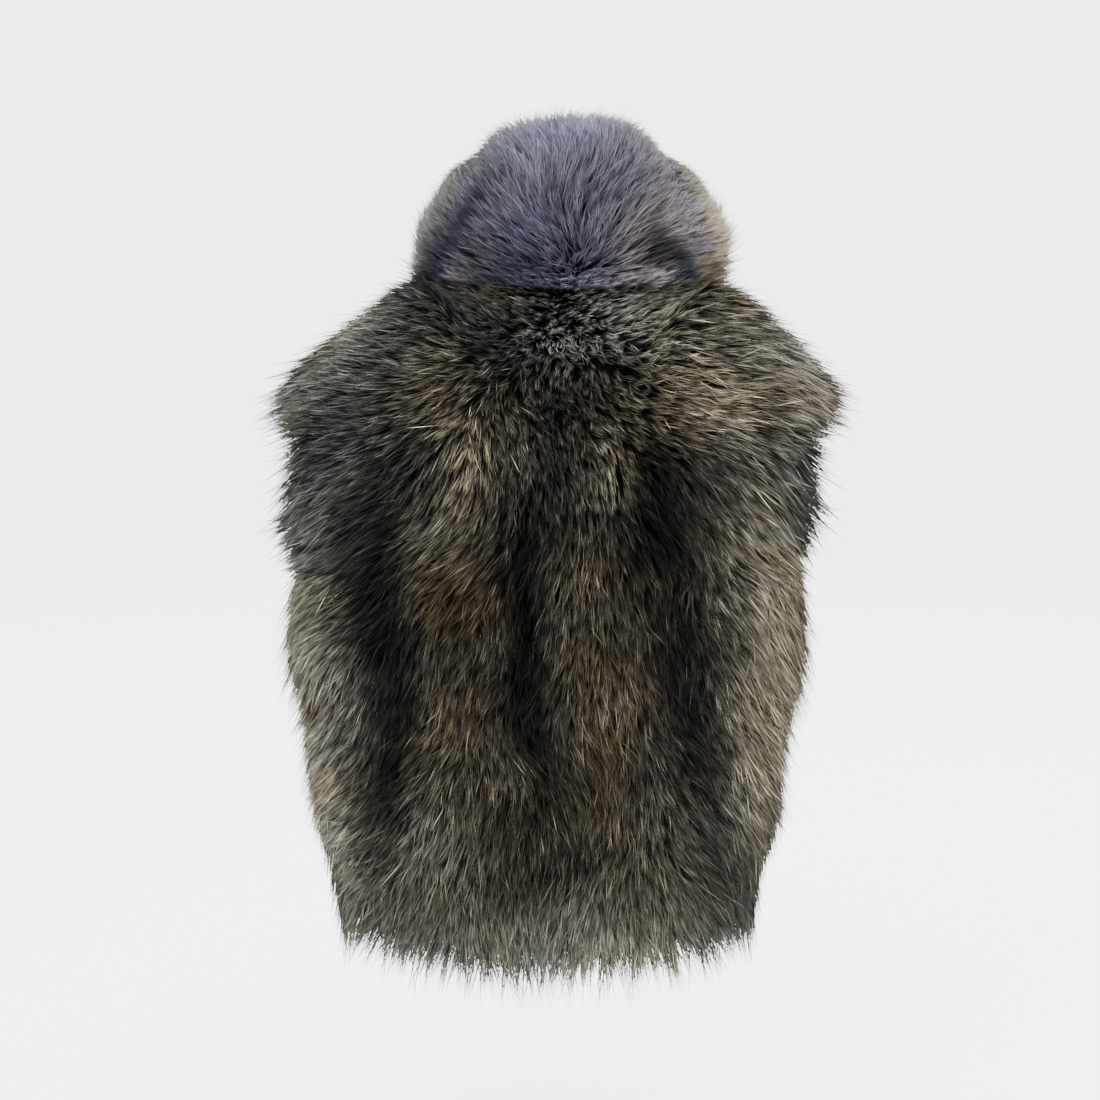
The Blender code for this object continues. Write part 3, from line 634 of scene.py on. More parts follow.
# %% [markdown]
# ## Smooth chance
# Fur is never even: neighbouring locks lean and colour alike, and further ones don't. A small box of random
# numbers, read smoothly, gives such slow changes. Every random number comes from a seed, so that the vest
# is the same each time.

# %% Slow random changes
DRIFT_CELLS = 16
DRIFT_START = 100.0
DRIFT_SWING = 1.4


def drift(points, size, seed):
    """Slowly changing numbers from about -1 to 1, with changes about as large as size."""
    box = np.random.default_rng(seed).uniform(-1.0, 1.0, (DRIFT_CELLS,) * 3)
    at = points / size + DRIFT_START
    cell = np.floor(at).astype(int)
    t = smooth(at - cell)
    found = 0.0
    for a in (0, 1):
        for b in (0, 1):
            for c in (0, 1):
                weight = abs(1 - a - t[..., 0]) * abs(1 - b - t[..., 1]) * abs(1 - c - t[..., 2])
                corner = tuple((cell[..., k] + v) % DRIFT_CELLS for k, v in enumerate((a, b, c)))
                found = found + weight * box[corner]
    return found * DRIFT_SWING


# A row for each height: the height and the sideways lean there
LEAN = ((-0.60, 0.016), (-0.30, 0.016), (-0.10, 0.007), (0.00, 0.0), (0.08, -0.007), (0.20, -0.009))


def leaned(points):
    """Points moved sideways by the vest's slight lean at their own height."""
    table = np.array(LEAN)
    moved = points.copy()
    lean = curve_through(table[:, 0], table[:, 1:], points[..., 2].ravel())
    moved[..., 0] += lean.reshape(points.shape[:-1])
    return moved


print("lean at the hem", round(float(leaned(np.array([[0.0, 0.0, -0.5]]))[0, 0]) * 1000, 1), "mm")

# %% [markdown]
# ## The way in which the pile is combed
# On the back the hairs start at the middle of the neck. They sweep out over the shoulders, turn down past
# the armholes and hang down to the hem, and in the middle they point straight out. A tool that combs real
# particle hair needs a window, so the combing is a table: at each place the way of the hairs across and up,
# the share of their full reach along the cloth, and how far they stand up. Places between take a mean.

# %% Combing tables
# A row for each place: its x and z, the way of the hairs in x and z, the share of their reach, and how
# far they stand up
BACK_COMB = (
    (0.078, 0.014, 0.60, 0.30, 0.08, 1.30),
    (0.000, 0.014, 0.00, 0.20, 0.08, 1.30),
    (-0.072, 0.014, -0.60, 0.30, 0.08, 1.30),
    (-0.008, -0.030, 0.00, -0.45, 0.35, 1.00),
    (-0.010, -0.080, 0.05, -1.00, 0.40, 1.00),
    (0.081, -0.038, 0.90, -0.10, 0.70, 1.00),
    (-0.063, -0.038, -0.90, 0.00, 0.70, 1.00),
    (0.157, -0.038, 1.00, 0.10, 1.00, 1.30),
    (-0.131, -0.038, -1.00, 0.05, 1.00, 1.30),
    (0.216, -0.063, 1.00, 0.30, 1.50, 1.75),
    (-0.198, -0.055, -1.00, 0.25, 1.50, 1.70),
    (0.233, -0.114, 1.00, -0.20, 1.15, 1.15),
    (-0.224, -0.114, -1.00, -0.20, 1.20, 1.15),
    (0.233, -0.173, 1.00, -0.40, 1.80, 1.10),
    (-0.224, -0.173, -1.00, -0.40, 1.85, 1.10),
    (0.140, -0.097, 0.90, -0.30, 0.90, 1.00),
    (-0.131, -0.097, -0.90, -0.35, 0.90, 1.00),
    (0.106, -0.084, 0.85, -0.20, 0.70, 1.00),
    (0.081, -0.114, 0.15, -1.00, 0.85, 1.00),
    (0.055, -0.123, -0.40, -0.90, 0.70, 1.00),
    (-0.038, -0.114, -0.50, -0.85, 0.70, 1.00),
    (0.013, -0.148, 0.00, -1.00, 0.80, 1.00),
    (0.140, -0.165, 0.70, -0.75, 1.00, 1.00),
    (-0.131, -0.165, -0.65, -0.80, 1.00, 1.00),
    (0.098, -0.199, 0.65, -0.75, 1.00, 1.00),
    (0.199, -0.232, 0.80, -0.75, 1.55, 1.10),
    (-0.198, -0.249, -0.75, -0.75, 1.60, 1.15),
    (0.013, -0.266, 0.00, -1.00, 1.00, 1.00),
    (0.114, -0.309, 0.15, -1.00, 1.00, 1.00),
    (-0.072, -0.309, -0.15, -1.00, 1.00, 1.00),
    (0.199, -0.368, 0.35, -0.95, 1.15, 1.00),
    (-0.173, -0.368, -0.40, -0.95, 1.15, 1.00),
    (0.013, -0.401, 0.00, -1.00, 1.00, 1.00),
    (0.184, -0.470, 0.65, -0.80, 1.60, 1.05),
    (-0.170, -0.470, -0.65, -0.80, 1.50, 1.05),
    (0.098, -0.537, 0.15, -1.00, 1.60, 1.00),
    (0.005, -0.545, 0.00, -1.00, 1.45, 1.00),
    (-0.072, -0.537, -0.20, -1.00, 1.65, 1.00),
    (-0.138, -0.510, -0.45, -0.90, 1.70, 1.00),
)
FRONT_COMB = (
    (0.090, 0.010, 0.50, 0.20, 0.08, 1.30),
    (0.060, -0.012, 0.30, -0.20, 0.08, 1.30),
    (0.015, -0.025, 0.00, -0.20, 0.08, 1.30),
    (0.030, -0.100, -0.10, -1.00, 0.80, 1.00),
    (0.060, -0.100, 0.20, -1.00, 0.80, 1.00),
    (0.100, -0.040, 0.90, -0.30, 0.90, 1.00),
    (0.190, -0.050, 1.00, 0.10, 1.45, 1.60),
    (0.225, -0.120, 1.00, -0.15, 1.50, 1.20),
    (0.225, -0.180, 0.95, -0.45, 1.75, 1.05),
    (0.130, -0.150, 0.55, -0.85, 1.00, 1.00),
    (0.050, -0.200, -0.10, -1.00, 1.00, 1.00),
    (0.100, -0.250, 0.10, -1.00, 1.00, 1.00),
    (0.190, -0.280, 0.45, -0.90, 1.30, 1.05),
    (0.020, -0.350, -0.15, -1.00, 1.00, 1.00),
    (0.100, -0.400, 0.05, -1.00, 1.00, 1.00),
    (0.190, -0.450, 0.55, -0.85, 1.55, 1.00),
    (0.030, -0.530, -0.10, -1.00, 1.60, 1.00),
    (0.110, -0.530, 0.10, -1.00, 1.60, 1.00),
)
COMB_REACH = 0.045
HOOD_FAN = 11.0
HOOD_FAN_LIMIT = 1.1
HOOD_LEAST_REACH = 0.12
HOOD_STAND_AT_FOOT = 1.25
HOOD_WAY = np.array([0.0, -0.50, 0.85])
HOOD_SHARE = 0.72
HOOD_FULL_REACH = (0.000, 0.045)
FLANK_FROM_Z = (0.045, 0.090)
FLANK_FROM_X = (0.040, 0.075)
FLATTER_FLANKS = (0.30, 0.45)


def combed(points, table):
    """The way of the hairs, the share of their reach and how they stand, as a mean of a combing table."""
    rows = np.array(table)
    gap = points[..., None, [0, 2]] - rows[:, :2]
    weight = np.exp(-np.sum(gap**2, axis=-1) / COMB_REACH**2) + 1e-9
    mean = (weight[..., None] * rows[:, 2:]).sum(axis=-2) / weight.sum(axis=-1)[..., None]
    return np.stack([mean[..., 0], 0.0 * mean[..., 0], mean[..., 1]], -1), mean[..., 2], mean[..., 3]


def hood_combed(points):
    """The same for the hood, where the hairs fan out from its foot and lie flatter on its upper flanks."""
    way = np.broadcast_to(HOOD_WAY, points.shape).copy()
    up = between(points[..., 2], HOOD_FULL_REACH)
    way[..., 0] = np.clip(points[..., 0] * HOOD_FAN, -HOOD_FAN_LIMIT, HOOD_FAN_LIMIT)
    flank = between(points[..., 2], FLANK_FROM_Z) * between(np.abs(points[..., 0]), FLANK_FROM_X)
    flatter = np.where(points[..., 0] > 0.0, *FLATTER_FLANKS)
    reach = HOOD_SHARE * (HOOD_LEAST_REACH + (1.0 - HOOD_LEAST_REACH) * up)
    stand = HOOD_STAND_AT_FOOT - (HOOD_STAND_AT_FOOT - 1.0) * up
    return way, reach, (1.0 - flatter * flank) * stand


print("places on the combing tables:", len(BACK_COMB), len(FRONT_COMB))

# %% [markdown]
# ## Surfaces
# The tables are now brought together. Each surface is a fine grid that holds, at every point, the fabric,
# the arrow to the top of the pile, the combing, and two shades that the hairs take on: how light they are,
# in stops as a photographer counts them, so that 1 is twice as light, and how warm. Light and dark bands and
# spots are listed one by one, like the creases.

# %% Light, dark, warm and cool places
# Most rows are the fur's own colour. The rows marked below are painted shade, painted shadow and painted
# light.
# A row for each spot or band: its middle in x and z, its half width and half height, how far it leans in
# x for each metre up, how many stops lighter and how much warmer it is
BACK_PATCHES = (
    # Painted shade: the next four bands and spots are dark and cool where the back's three long creases lie.
    (0.134, -0.310, 0.020, 0.160, 0.00, -3.30, -0.60),
    (0.030, -0.275, 0.016, 0.110, 0.02, -3.80, 0.10),
    (-0.092, -0.290, 0.024, 0.180, 0.12, -2.15, -0.20),
    (-0.058, -0.160, 0.022, 0.045, 0.00, -2.00, -0.10),
    (0.013, -0.130, 0.040, 0.070, 0.00, -1.35, -0.10),
    (-0.025, -0.062, 0.026, 0.024, 0.00, -0.60, -0.20),
    (-0.092, -0.078, 0.040, 0.030, 0.00, 0.80, 0.10),
    (0.084, -0.045, 0.024, 0.022, 0.00, 0.30, 0.00),
    (0.105, -0.128, 0.016, 0.034, 0.00, -0.30, -0.10),
    (0.013, -0.350, 0.100, 0.150, 0.00, -0.45, 0.00),
    (0.010, -0.440, 0.045, 0.045, 0.00, -0.70, 0.00),
    (0.085, -0.260, 0.024, 0.130, 0.00, -0.25, 0.40),
    (0.080, -0.125, 0.015, 0.038, 0.00, 1.10, 0.50),
    (-0.039, -0.135, 0.014, 0.020, 0.00, 1.60, 0.40),
    (0.080, -0.224, 0.028, 0.042, 0.00, -0.40, 0.50),
    (-0.025, -0.330, 0.024, 0.120, 0.08, 0.05, 0.60),
    (-0.150, -0.270, 0.028, 0.140, 0.00, 1.55, 0.10),
    (-0.122, -0.425, 0.034, 0.055, 0.00, 1.05, -0.20),
    (-0.110, -0.385, 0.024, 0.050, 0.00, 0.70, 0.00),
    # Painted light: the side turns away from the lamps here, and this band paints it lighter.
    (0.190, -0.310, 0.030, 0.160, 0.00, 1.40, -0.20),
    (0.155, -0.445, 0.050, 0.044, 0.00, 1.50, -0.10),
    (0.116, -0.432, 0.018, 0.026, 0.00, 0.25, 0.00),
    (0.000, -0.555, 0.300, 0.065, 0.00, 1.35, -0.60),
    (-0.030, -0.535, 0.028, 0.028, 0.00, -0.30, 0.60),
    (-0.200, -0.055, 0.070, 0.055, 0.00, 1.30, 0.00),
    (-0.195, -0.140, 0.050, 0.040, 0.00, -0.40, -0.40),
    (0.200, -0.055, 0.080, 0.050, 0.00, 0.35, -0.50),
    (0.185, -0.140, 0.050, 0.055, 0.00, -0.55, -0.60),
    (0.066, -0.028, 0.036, 0.022, 0.00, -0.70, -0.60),
    (-0.030, -0.022, 0.050, 0.030, 0.00, 0.90, -0.40),
    (0.012, -0.018, 0.036, 0.028, 0.00, 1.35, -0.35),
    (-0.085, -0.050, 0.040, 0.050, 0.00, 0.30, 0.05),
    # Painted shadow: the foot of the hood overhangs the neck here, and its shadow is painted dark and cool.
    (0.098, -0.002, 0.026, 0.014, 0.00, -1.50, -0.80),
    # Painted shade: the last three spots are dark in the short creases at the sides.
    (0.186, -0.478, 0.016, 0.014, 0.00, -1.80, -0.30),
    (-0.190, -0.257, 0.009, 0.034, 0.00, -2.40, -0.20),
    (-0.165, -0.500, 0.008, 0.020, 0.00, -2.20, -0.20),
)
FRONT_PATCHES = (
    # Painted shade: the first two bands are dark where the front's two long creases lie.
    (0.140, -0.300, 0.021, 0.150, 0.00, -2.90, -0.30),
    (0.060, -0.340, 0.014, 0.130, 0.04, -2.30, 0.00),
    (0.095, -0.260, 0.020, 0.150, 0.00, 0.20, 0.40),
    (0.030, -0.260, 0.018, 0.170, 0.00, 0.20, 0.40),
    (0.200, -0.070, 0.070, 0.075, 0.00, 0.90, -0.40),
    (0.000, -0.545, 0.300, 0.060, 0.00, 1.10, -0.40),
    (0.195, -0.330, 0.028, 0.150, 0.00, 0.80, -0.10),
)
HOOD_PATCHES = (
    (0.000, 0.060, 0.300, 0.130, 0.00, 0.75, 0.00),
    (0.000, 0.105, 0.200, 0.075, 0.00, 0.30, 0.00),
    (0.000, 0.150, 0.200, 0.030, 0.00, 0.50, 0.20),
    (0.008, 0.045, 0.030, 0.050, 0.00, 0.05, -0.20),
    (0.000, 0.004, 0.100, 0.022, 0.00, 0.75, -0.10),
    (-0.012, 0.006, 0.026, 0.016, 0.00, 1.10, -0.10),
    (0.064, 0.080, 0.022, 0.060, 0.00, -0.50, 0.30),
    (0.060, 0.028, 0.018, 0.020, 0.00, -0.50, 0.20),
    (0.070, 0.010, 0.014, 0.014, 0.00, 0.70, 0.60),
    (-0.080, 0.080, 0.036, 0.070, 0.00, 0.05, 0.80),
    (-0.048, 0.026, 0.034, 0.034, 0.00, 1.10, 0.70),
    # Painted shade: the next four spots and bands are dark and cool along the hood's creases.
    (0.081, 0.036, 0.0095, 0.048, -0.62, -3.10, -1.10),
    (0.112, 0.000, 0.014, 0.020, 0.00, -1.40, 0.00),
    (-0.057, 0.036, 0.015, 0.013, 0.00, -3.30, -0.90),
    (-0.093, 0.002, 0.011, 0.030, 0.61, -2.90, -1.00),
    (-0.118, 0.035, 0.026, 0.065, 0.00, 1.50, -0.20),
    (0.122, 0.045, 0.020, 0.050, 0.00, 0.80, 0.10),
)


def patches(points, table):
    """How light and how warm each point is, from a table of soft spots and bands."""
    light = np.zeros(points.shape[:-1])
    warm = np.zeros(points.shape[:-1])
    for x, z, half_x, half_z, slope, more_light, more_warm in table:
        up = points[..., 2] - z
        here = np.exp(-(((points[..., 0] - x - slope * up) / half_x) ** 2) - (up / half_z) ** 4)
        light += here * more_light
        warm += here * more_warm
    return light, warm


print("spots and bands:", len(BACK_PATCHES), len(FRONT_PATCHES), len(HOOD_PATCHES))

# %% The four surfaces
FINER = 2
WHIRL_SIZE = 0.055
WHIRL = 0.30
SMALL_WHIRL = 0.5
SMALLER = 2.5
# Painted shade: hairs in a crease are made darker by this many stops for each metre of its depth.
CREASE_SHADE = 60.0
RIGHT_OF = -0.02


def refined(grid, times):
    """The same surface with more rows and columns, on smooth curves through its points."""
    for axis in (0, 1):
        lines = np.moveaxis(grid, axis, 0)
        at = np.linspace(0.0, len(lines) - 1.0, (len(lines) - 1) * times + 1)
        found = curve_through(np.arange(len(lines)), lines.reshape(len(lines), -1), at)
        grid = np.moveaxis(found.reshape((len(at),) + lines.shape[1:]), 0, axis)
    return grid


def steps_on(grid, way):
    """A way in space as steps of rows and columns for each metre along a surface."""
    down, across = np.gradient(grid, axis=0), np.gradient(grid, axis=1)
    aa, bb, ab = (np.sum(p * q, axis=-1) for p, q in ((down, down), (across, across), (down, across)))
    a, b = np.sum(way * down, axis=-1), np.sum(way * across, axis=-1)
    area = np.maximum(aa * bb - ab**2, 1e-16)
    return np.stack([(a * bb - b * ab) / area, (b * aa - a * ab) / area], -1)


def surface(base, pile, inside, tables, seed):
    """A fine grid of the fabric with all that the hairs read from it. The right front mirrors its tables."""
    crease_table, comb, patch_table = tables
    base, pile = refined(base, FINER), refined(pile, FINER)
    mirror_x = -1.0 if base[..., 0].mean() < RIGHT_OF else 1.0
    normals = normals_of(base, inside)
    seen = leaned(base)
    table_side = seen * (mirror_x, 1.0, 1.0)
    deep = creases(table_side, crease_table)
    base = base - normals * deep[..., None]
    way, reach, stand = comb(table_side)
    way = way * (mirror_x, 1.0, 1.0)
    way = unit(way - normals * np.sum(way * normals, axis=-1, keepdims=True))
    turn = WHIRL * drift(seen, WHIRL_SIZE, seed)
    turn = (turn + SMALL_WHIRL * WHIRL * drift(seen, WHIRL_SIZE / SMALLER, seed + 1))[..., None]
    turned = way * np.cos(turn) + np.cross(normals, way) * np.sin(turn)
    light, warm = patches(table_side, patch_table)
    return {
        "base": base,
        "pile": pile,
        "normals": normals,
        "along": steps_on(base, turned),
        "aside": steps_on(base, np.cross(normals, turned)),
        "reach": reach,
        "stand": stand,
        # The light of the hairs, less the painted shade in the creases
        "light": light - CREASE_SHADE * np.maximum(deep, 0.0),
        "warm": warm,
    }


back = back_base()
front = front_base()
hood = hood_base()
back_pile = body_pile(back, normals_of(back, BACK_INSIDE), (0, 1), False, BACK_RIDGES)
front_pile = body_pile(front, normals_of(front, FRONT_INSIDE), (1,), True, FRONT_RIDGES)
whole_hood_pile = hood_pile(hood, normals_of(hood, HOOD_INSIDE))
ON_BACK = (BACK_CREASES, lambda points: combed(points, BACK_COMB), BACK_PATCHES)
ON_FRONT = (FRONT_CREASES, lambda points: combed(points, FRONT_COMB), FRONT_PATCHES)
ON_HOOD = (HOOD_CREASES, hood_combed, HOOD_PATCHES)
SURFACES = {
    "back": surface(back, back_pile, BACK_INSIDE, ON_BACK, 5),
    "front_left": surface(front, front_pile, FRONT_INSIDE, ON_FRONT, 6),
    "front_right": surface(mirrored(front), mirrored(front_pile), mirrored(FRONT_INSIDE), ON_FRONT, 7),
    "hood": surface(hood, whole_hood_pile, HOOD_INSIDE, ON_HOOD, 8),
}
for name, made in SURFACES.items():
    print(name, made["base"].shape[:2], "points on the fine grid")

# %% [markdown]
# ## Cloth with underfur
# Under the guard hairs lies a dense woolly underfur, about a third as high, on a knitted backing. Each
# panel is one closed sheet: its inside is the backing, its outside the underfur, and the two are joined
# round the edge. Solidify would give the same thickness everywhere, and this one follows the pile.

# %% Sheets of cloth
UNDERFUR = 0.34
SEAM_HALF_GAP = 0.00015
HOOD_LEFT_END = HOOD_SIDE_COLUMNS * FINER
HOOD_RIGHT_START = (HOOD_SIDE_COLUMNS + HOOD_CENTRE_COLUMNS) * FINER
# A row for each sheet: its name, its node, its surface, its first and last column there, its slot
SHEETS = (
    ("back_cloth", "back", "back", 0, None, "fur_back"),
    ("front_left_cloth", "front_left", "front_left", 0, None, "fur_front"),
    ("front_right_cloth", "front_right", "front_right", 0, None, "fur_front"),
    ("hood_left_cloth", "hood_left", "hood", 0, HOOD_LEFT_END, "fur_hood_left"),
    ("hood_centre_cloth", "hood_centre", "hood", HOOD_LEFT_END, HOOD_RIGHT_START, "fur_hood_centre"),
    ("hood_right_cloth", "hood_right", "hood", HOOD_RIGHT_START, None, "fur_hood_right"),
)


def drawn_in(grid):
    """The grid with its edges drawn in by half of the gap between two sheets."""
    grid = grid.copy()
    for edge, next_one in ((0, 1), (-1, -2)):
        grid[edge] += unit(grid[next_one] - grid[edge]) * SEAM_HALF_GAP
        grid[:, edge] += unit(grid[:, next_one] - grid[:, edge]) * SEAM_HALF_GAP
    return grid


def part_of(made, first, last):
    """A surface cut down to some of its columns."""
    last = made["base"].shape[1] if last is None else last + 1
    return {name: values[:, first:last] for name, values in made.items()}


def cloth(name, made):
    """One closed sheet, the underfur outside and the backing inside."""
    low = drawn_in(made["base"])
    high = leaned(low + made["pile"] * UNDERFUR)
    rows, columns = low.shape[:2]
    u = distance_from(low, 1, False)
    v = distance_from(low, 0, False)
    low = leaned(low)
    mesh = bmesh.new()
    uv = mesh.loops.layers.uv.new("cloth")
    sides = []
    for grid in (high, low):
        sides.append([[mesh.verts.new(grid[i, j]) for j in range(columns)] for i in range(rows)])
    place = {}
    for side in sides:
        for i in range(rows):
            for j in range(columns):
                place[side[i][j]] = (float(u[i, j]), float(v[i, j]))
    for number, side in enumerate(sides):
        for i in range(rows - 1):
            for j in range(columns - 1):
                face = mesh.faces.new((side[i][j], side[i][j + 1], side[i + 1][j + 1], side[i + 1][j]))
                face.material_index = number
    edge = [(0, j) for j in range(columns - 1)] + [(i, columns - 1) for i in range(rows - 1)]
    edge += [(rows - 1, j) for j in range(columns - 1, 0, -1)] + [(i, 0) for i in range(rows - 1, 0, -1)]
    for here, after in zip(edge, edge[1:] + edge[:1]):
        mesh.faces.new([sides[s][i][j] for s, (i, j) in ((1, here), (1, after), (0, after), (0, here))])
    bmesh.ops.recalc_face_normals(mesh, faces=mesh.faces[:])
    if mesh.calc_volume(signed=True) < 0:
        bmesh.ops.reverse_faces(mesh, faces=mesh.faces[:])
    for face in mesh.faces:
        face.smooth = True
        for corner in face.loops:
            corner[uv].uv = place[corner.vert]
    data = bpy.data.meshes.new(name)
    mesh.to_mesh(data)
    mesh.free()
    piece = bpy.data.objects.new(name, data)
    bpy.context.scene.collection.objects.link(piece)
    return piece


CLOTH = {}
for name, _, surface_name, first, last, _ in SHEETS:
    CLOTH[name] = cloth(name, part_of(SURFACES[surface_name], first, last))
    print(name, len(CLOTH[name].data.polygons), "faces")

# %% [markdown]
# ## Guard hairs
# A real vest has millions of hairs. What the eye sees is locks: a dozen hairs that stick together near
# their tips. So each lock gets seven broad hairs, three quarters of a millimetre wide instead of a tenth,
# drawn together towards one tip. First the grids have to be readable between their points, because a hair
# starts anywhere and is then followed over the fabric.

# %% Walking on a surface
def read(values, at):
    """Values of a grid at broken places, held at its edges."""
    rows, columns = values.shape[:2]
    i = np.clip(at[..., 0], 0.0, rows - 1.0)
    j = np.clip(at[..., 1], 0.0, columns - 1.0)
    i0 = np.minimum(i.astype(int), rows - 2)
    j0 = np.minimum(j.astype(int), columns - 2)
    ti, tj = i - i0, j - j0
    if values.ndim == 3:
        ti, tj = ti[..., None], tj[..., None]
    low = values[i0, j0] * (1 - tj) + values[i0, j0 + 1] * tj
    high = values[i0 + 1, j0] * (1 - tj) + values[i0 + 1, j0 + 1] * tj
    return low * (1 - ti) + high * ti


def place_on(made, at):
    """Points of the fabric, running straight on past its edges."""
    limits = np.array(made["base"].shape[:2]) - 1.0
    past = at - np.clip(at, 0.0, limits)
    down = read(made["row_step"], at) * past[..., :1]
    return read(made["base"], at) + down + read(made["column_step"], at) * past[..., 1:]


for made in SURFACES.values():
    made["row_step"] = np.gradient(made["base"], axis=0)
    made["column_step"] = np.gradient(made["base"], axis=1)
print("a point of the back", np.round(place_on(SURFACES["back"], np.array([[10.0, 10.0]])), 3))

# %% Places for the locks
WILD_FROM = (1.15, 1.55)
MORE_AT_EDGES = 0.6
SHORT_BELOW = (0.30, 0.60)
MORE_WHERE_SHORT = 0.7


def cell_areas(grid):
    """The area of each cell of a grid."""
    one, other = grid[1:, 1:] - grid[:-1, :-1], grid[1:, :-1] - grid[:-1, 1:]
    return np.linalg.norm(np.cross(one, other), axis=-1) / 2


def scattered(made, first, last, count, rng):
    """Places in rows and columns on a part of a surface, closer where the fur is wild or short of reach."""
    reach = made["reach"][1:, first + 1 : last + 1]
    more = MORE_AT_EDGES * between(reach, WILD_FROM) + MORE_WHERE_SHORT * (1.0 - between(reach, SHORT_BELOW))
    cells = cell_areas(made["base"][:, first : last + 1]) * (1.0 + more)
    total = np.cumsum(cells.ravel())
    pick = (np.arange(count) + rng.uniform(0.0, 1.0, count)) / count * total[-1]
    i, j = np.divmod(np.minimum(np.searchsorted(total, pick), cells.size - 1), cells.shape[1])
    return np.stack([i + rng.uniform(0.0, 1.0, count), first + j + rng.uniform(0.0, 1.0, count)], 1)


print("four places", np.round(scattered(SURFACES["back"], 0, 80, 4, np.random.default_rng(1)), 1).tolist())

# %% [markdown]
# ## The path of a hair
# A hair leaves the cloth steeply and then bends over the way it is combed. Past the hem, the armholes and
# the face edge it runs straight on, which makes the fringe. Each path is walked in four small steps along
# the combing. The longest hairs are drawn back a little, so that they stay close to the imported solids.

# %% Paths and their limits
HAIR_REACH = 0.033
HAIR_STAGES = np.array([0.0, 0.5, 1.0])
PATH_STEPS = 4
STEP_GROWTH = 1.3
ROOT_SHARE = 0.16
ROOM_SHARE = 0.03
ROOM = 0.0085
SOLIDS = np.array([[float(v) for v in corner] for corner in cad_box])
FURTHEST = SOLIDS + np.array([[-1.0], [1.0]]) * (ROOM_SHARE * (SOLIDS[1] - SOLIDS[0]) + ROOM)


def path(made, roots, turn, reach, height, bend):
    """The middle line of each hair, walked in small steps and kept at its stages."""
    at = roots.copy()
    points = []
    steps = np.linspace(0.0, 1.0, PATH_STEPS + 1)
    for stage, after in zip(steps, np.append(steps[1:], 1.0)):
        share = ROOT_SHARE + (1.0 - ROOT_SHARE) * (1.0 - (1.0 - stage) ** bend)
        points.append(place_on(made, at) + read(made["pile"], at) * (share * height)[:, None])
        step = reach * (after**STEP_GROWTH - stage**STEP_GROWTH)
        way = read(made["along"], at) * np.cos(turn)[:, None]
        way = way + read(made["aside"], at) * np.sin(turn)[:, None]
        at = at + way * step[:, None]
    keep = np.round(HAIR_STAGES * PATH_STEPS).astype(int)
    return np.stack(points, 1)[:, keep]


def kept_near(hair_points):
    """Hairs made shorter towards their roots where they would reach too far past the solids."""
    root = hair_points[:, :1]
    way = hair_points - root
    way = np.where(np.abs(way) < 1e-6, 1e-6, way)
    room = np.where(way < 0.0, FURTHEST[0] - root, FURTHEST[1] - root)
    share = np.clip((room / way).min(axis=(1, 2)), 0.0, 1.0)
    return root + (hair_points - root) * share[:, None, None]


print("hairs may reach", np.round(FURTHEST, 3).tolist())

# %% [markdown]
# ## Ribbons
# Each hair becomes a narrow ribbon of a four-sided face and a triangle, thin enough to pass for a hair.
# All hairs of a panel are one mesh, made from arrays. Every ribbon has its own small strip in a UV map, so
# that its colours survive the export, and carries its stage from root to tip, its light and its warmth.

# %% Hairs as ribbons
STRIP_ACROSS = np.array([0.2, 0.8, 0.2, 0.8, 0.5])
STRIP_START = 0.08
STRIP_LENGTH = 0.84


def ribbon_mesh(name, corners, light, warm):
    """Five points for each hair, two pairs and the tip, and so a four-sided face and a triangle."""
    count = len(corners)
    loops = (np.arange(count)[:, None] * 5 + np.array([0, 1, 3, 2, 2, 3, 4])).ravel()
    starts = (np.arange(count)[:, None] * 7 + np.array([0, 4])).ravel()
    data = bpy.data.meshes.new(name)
    data.vertices.add(count * 5)
    data.vertices.foreach_set("co", corners.astype(np.float32).ravel())
    data.loops.add(len(loops))
    data.loops.foreach_set("vertex_index", loops.astype(np.int32))
    data.polygons.add(len(starts))
    data.polygons.foreach_set("loop_start", starts.astype(np.int32))
    data.update(calc_edges=True)
    data.polygons.foreach_set("use_smooth", np.ones(len(starts), bool))
    stage = np.repeat(HAIR_STAGES, 2)[:5]
    values = {"stage": np.tile(stage, count), "light": np.repeat(light, 5), "warm": np.repeat(warm, 5)}
    for key, value in values.items():
        data.attributes.new(key, "FLOAT", "POINT").data.foreach_set("value", value.astype(np.float32))
    across = math.ceil(math.sqrt(3.0 * count))
    down = math.ceil(count / across)
    u = (np.arange(count) % across)[:, None] + STRIP_ACROSS
    v = (np.arange(count) // across)[:, None] + STRIP_START + STRIP_LENGTH * stage
    uv = np.stack([u / across, v / down], -1).reshape(-1, 2)[loops]
    data.uv_layers.new(name="OFBake").data.foreach_set("uv", uv.astype(np.float32).ravel())
    piece = bpy.data.objects.new(name, data)
    bpy.context.scene.collection.objects.link(piece)
    return piece


print("a hair has", len(HAIR_STAGES), "stages")

# %% [markdown]
# ## Locks
# The hairs of a lock have one way, one reach and one lightness, each a little off from the next lock's.
# Where the reach is short, as in the middle of the neck, the locks point out of the cloth, their ways are
# more mixed and their light is more even. At the hem, the armholes and the shoulders, where the outline
# shows them, they are more ragged and more pointed.

# %% Shapes of the locks
HAIRS_IN_LOCK = 7
LOCK_RADIUS = 0.0030
LOCK_TURN = 0.16
MORE_TURN_WHERE_SHORT = 0.9
MORE_TURN_BELOW = 0.75
LOCK_REACH = 0.975
REACH_UNEVEN = 0.175
RAGGED = 1.2
LOCK_HEIGHTS = (0.80, 1.18)
LOCK_BENDS = (1.15, 1.75)
LIGHT_UNEVEN = 0.40


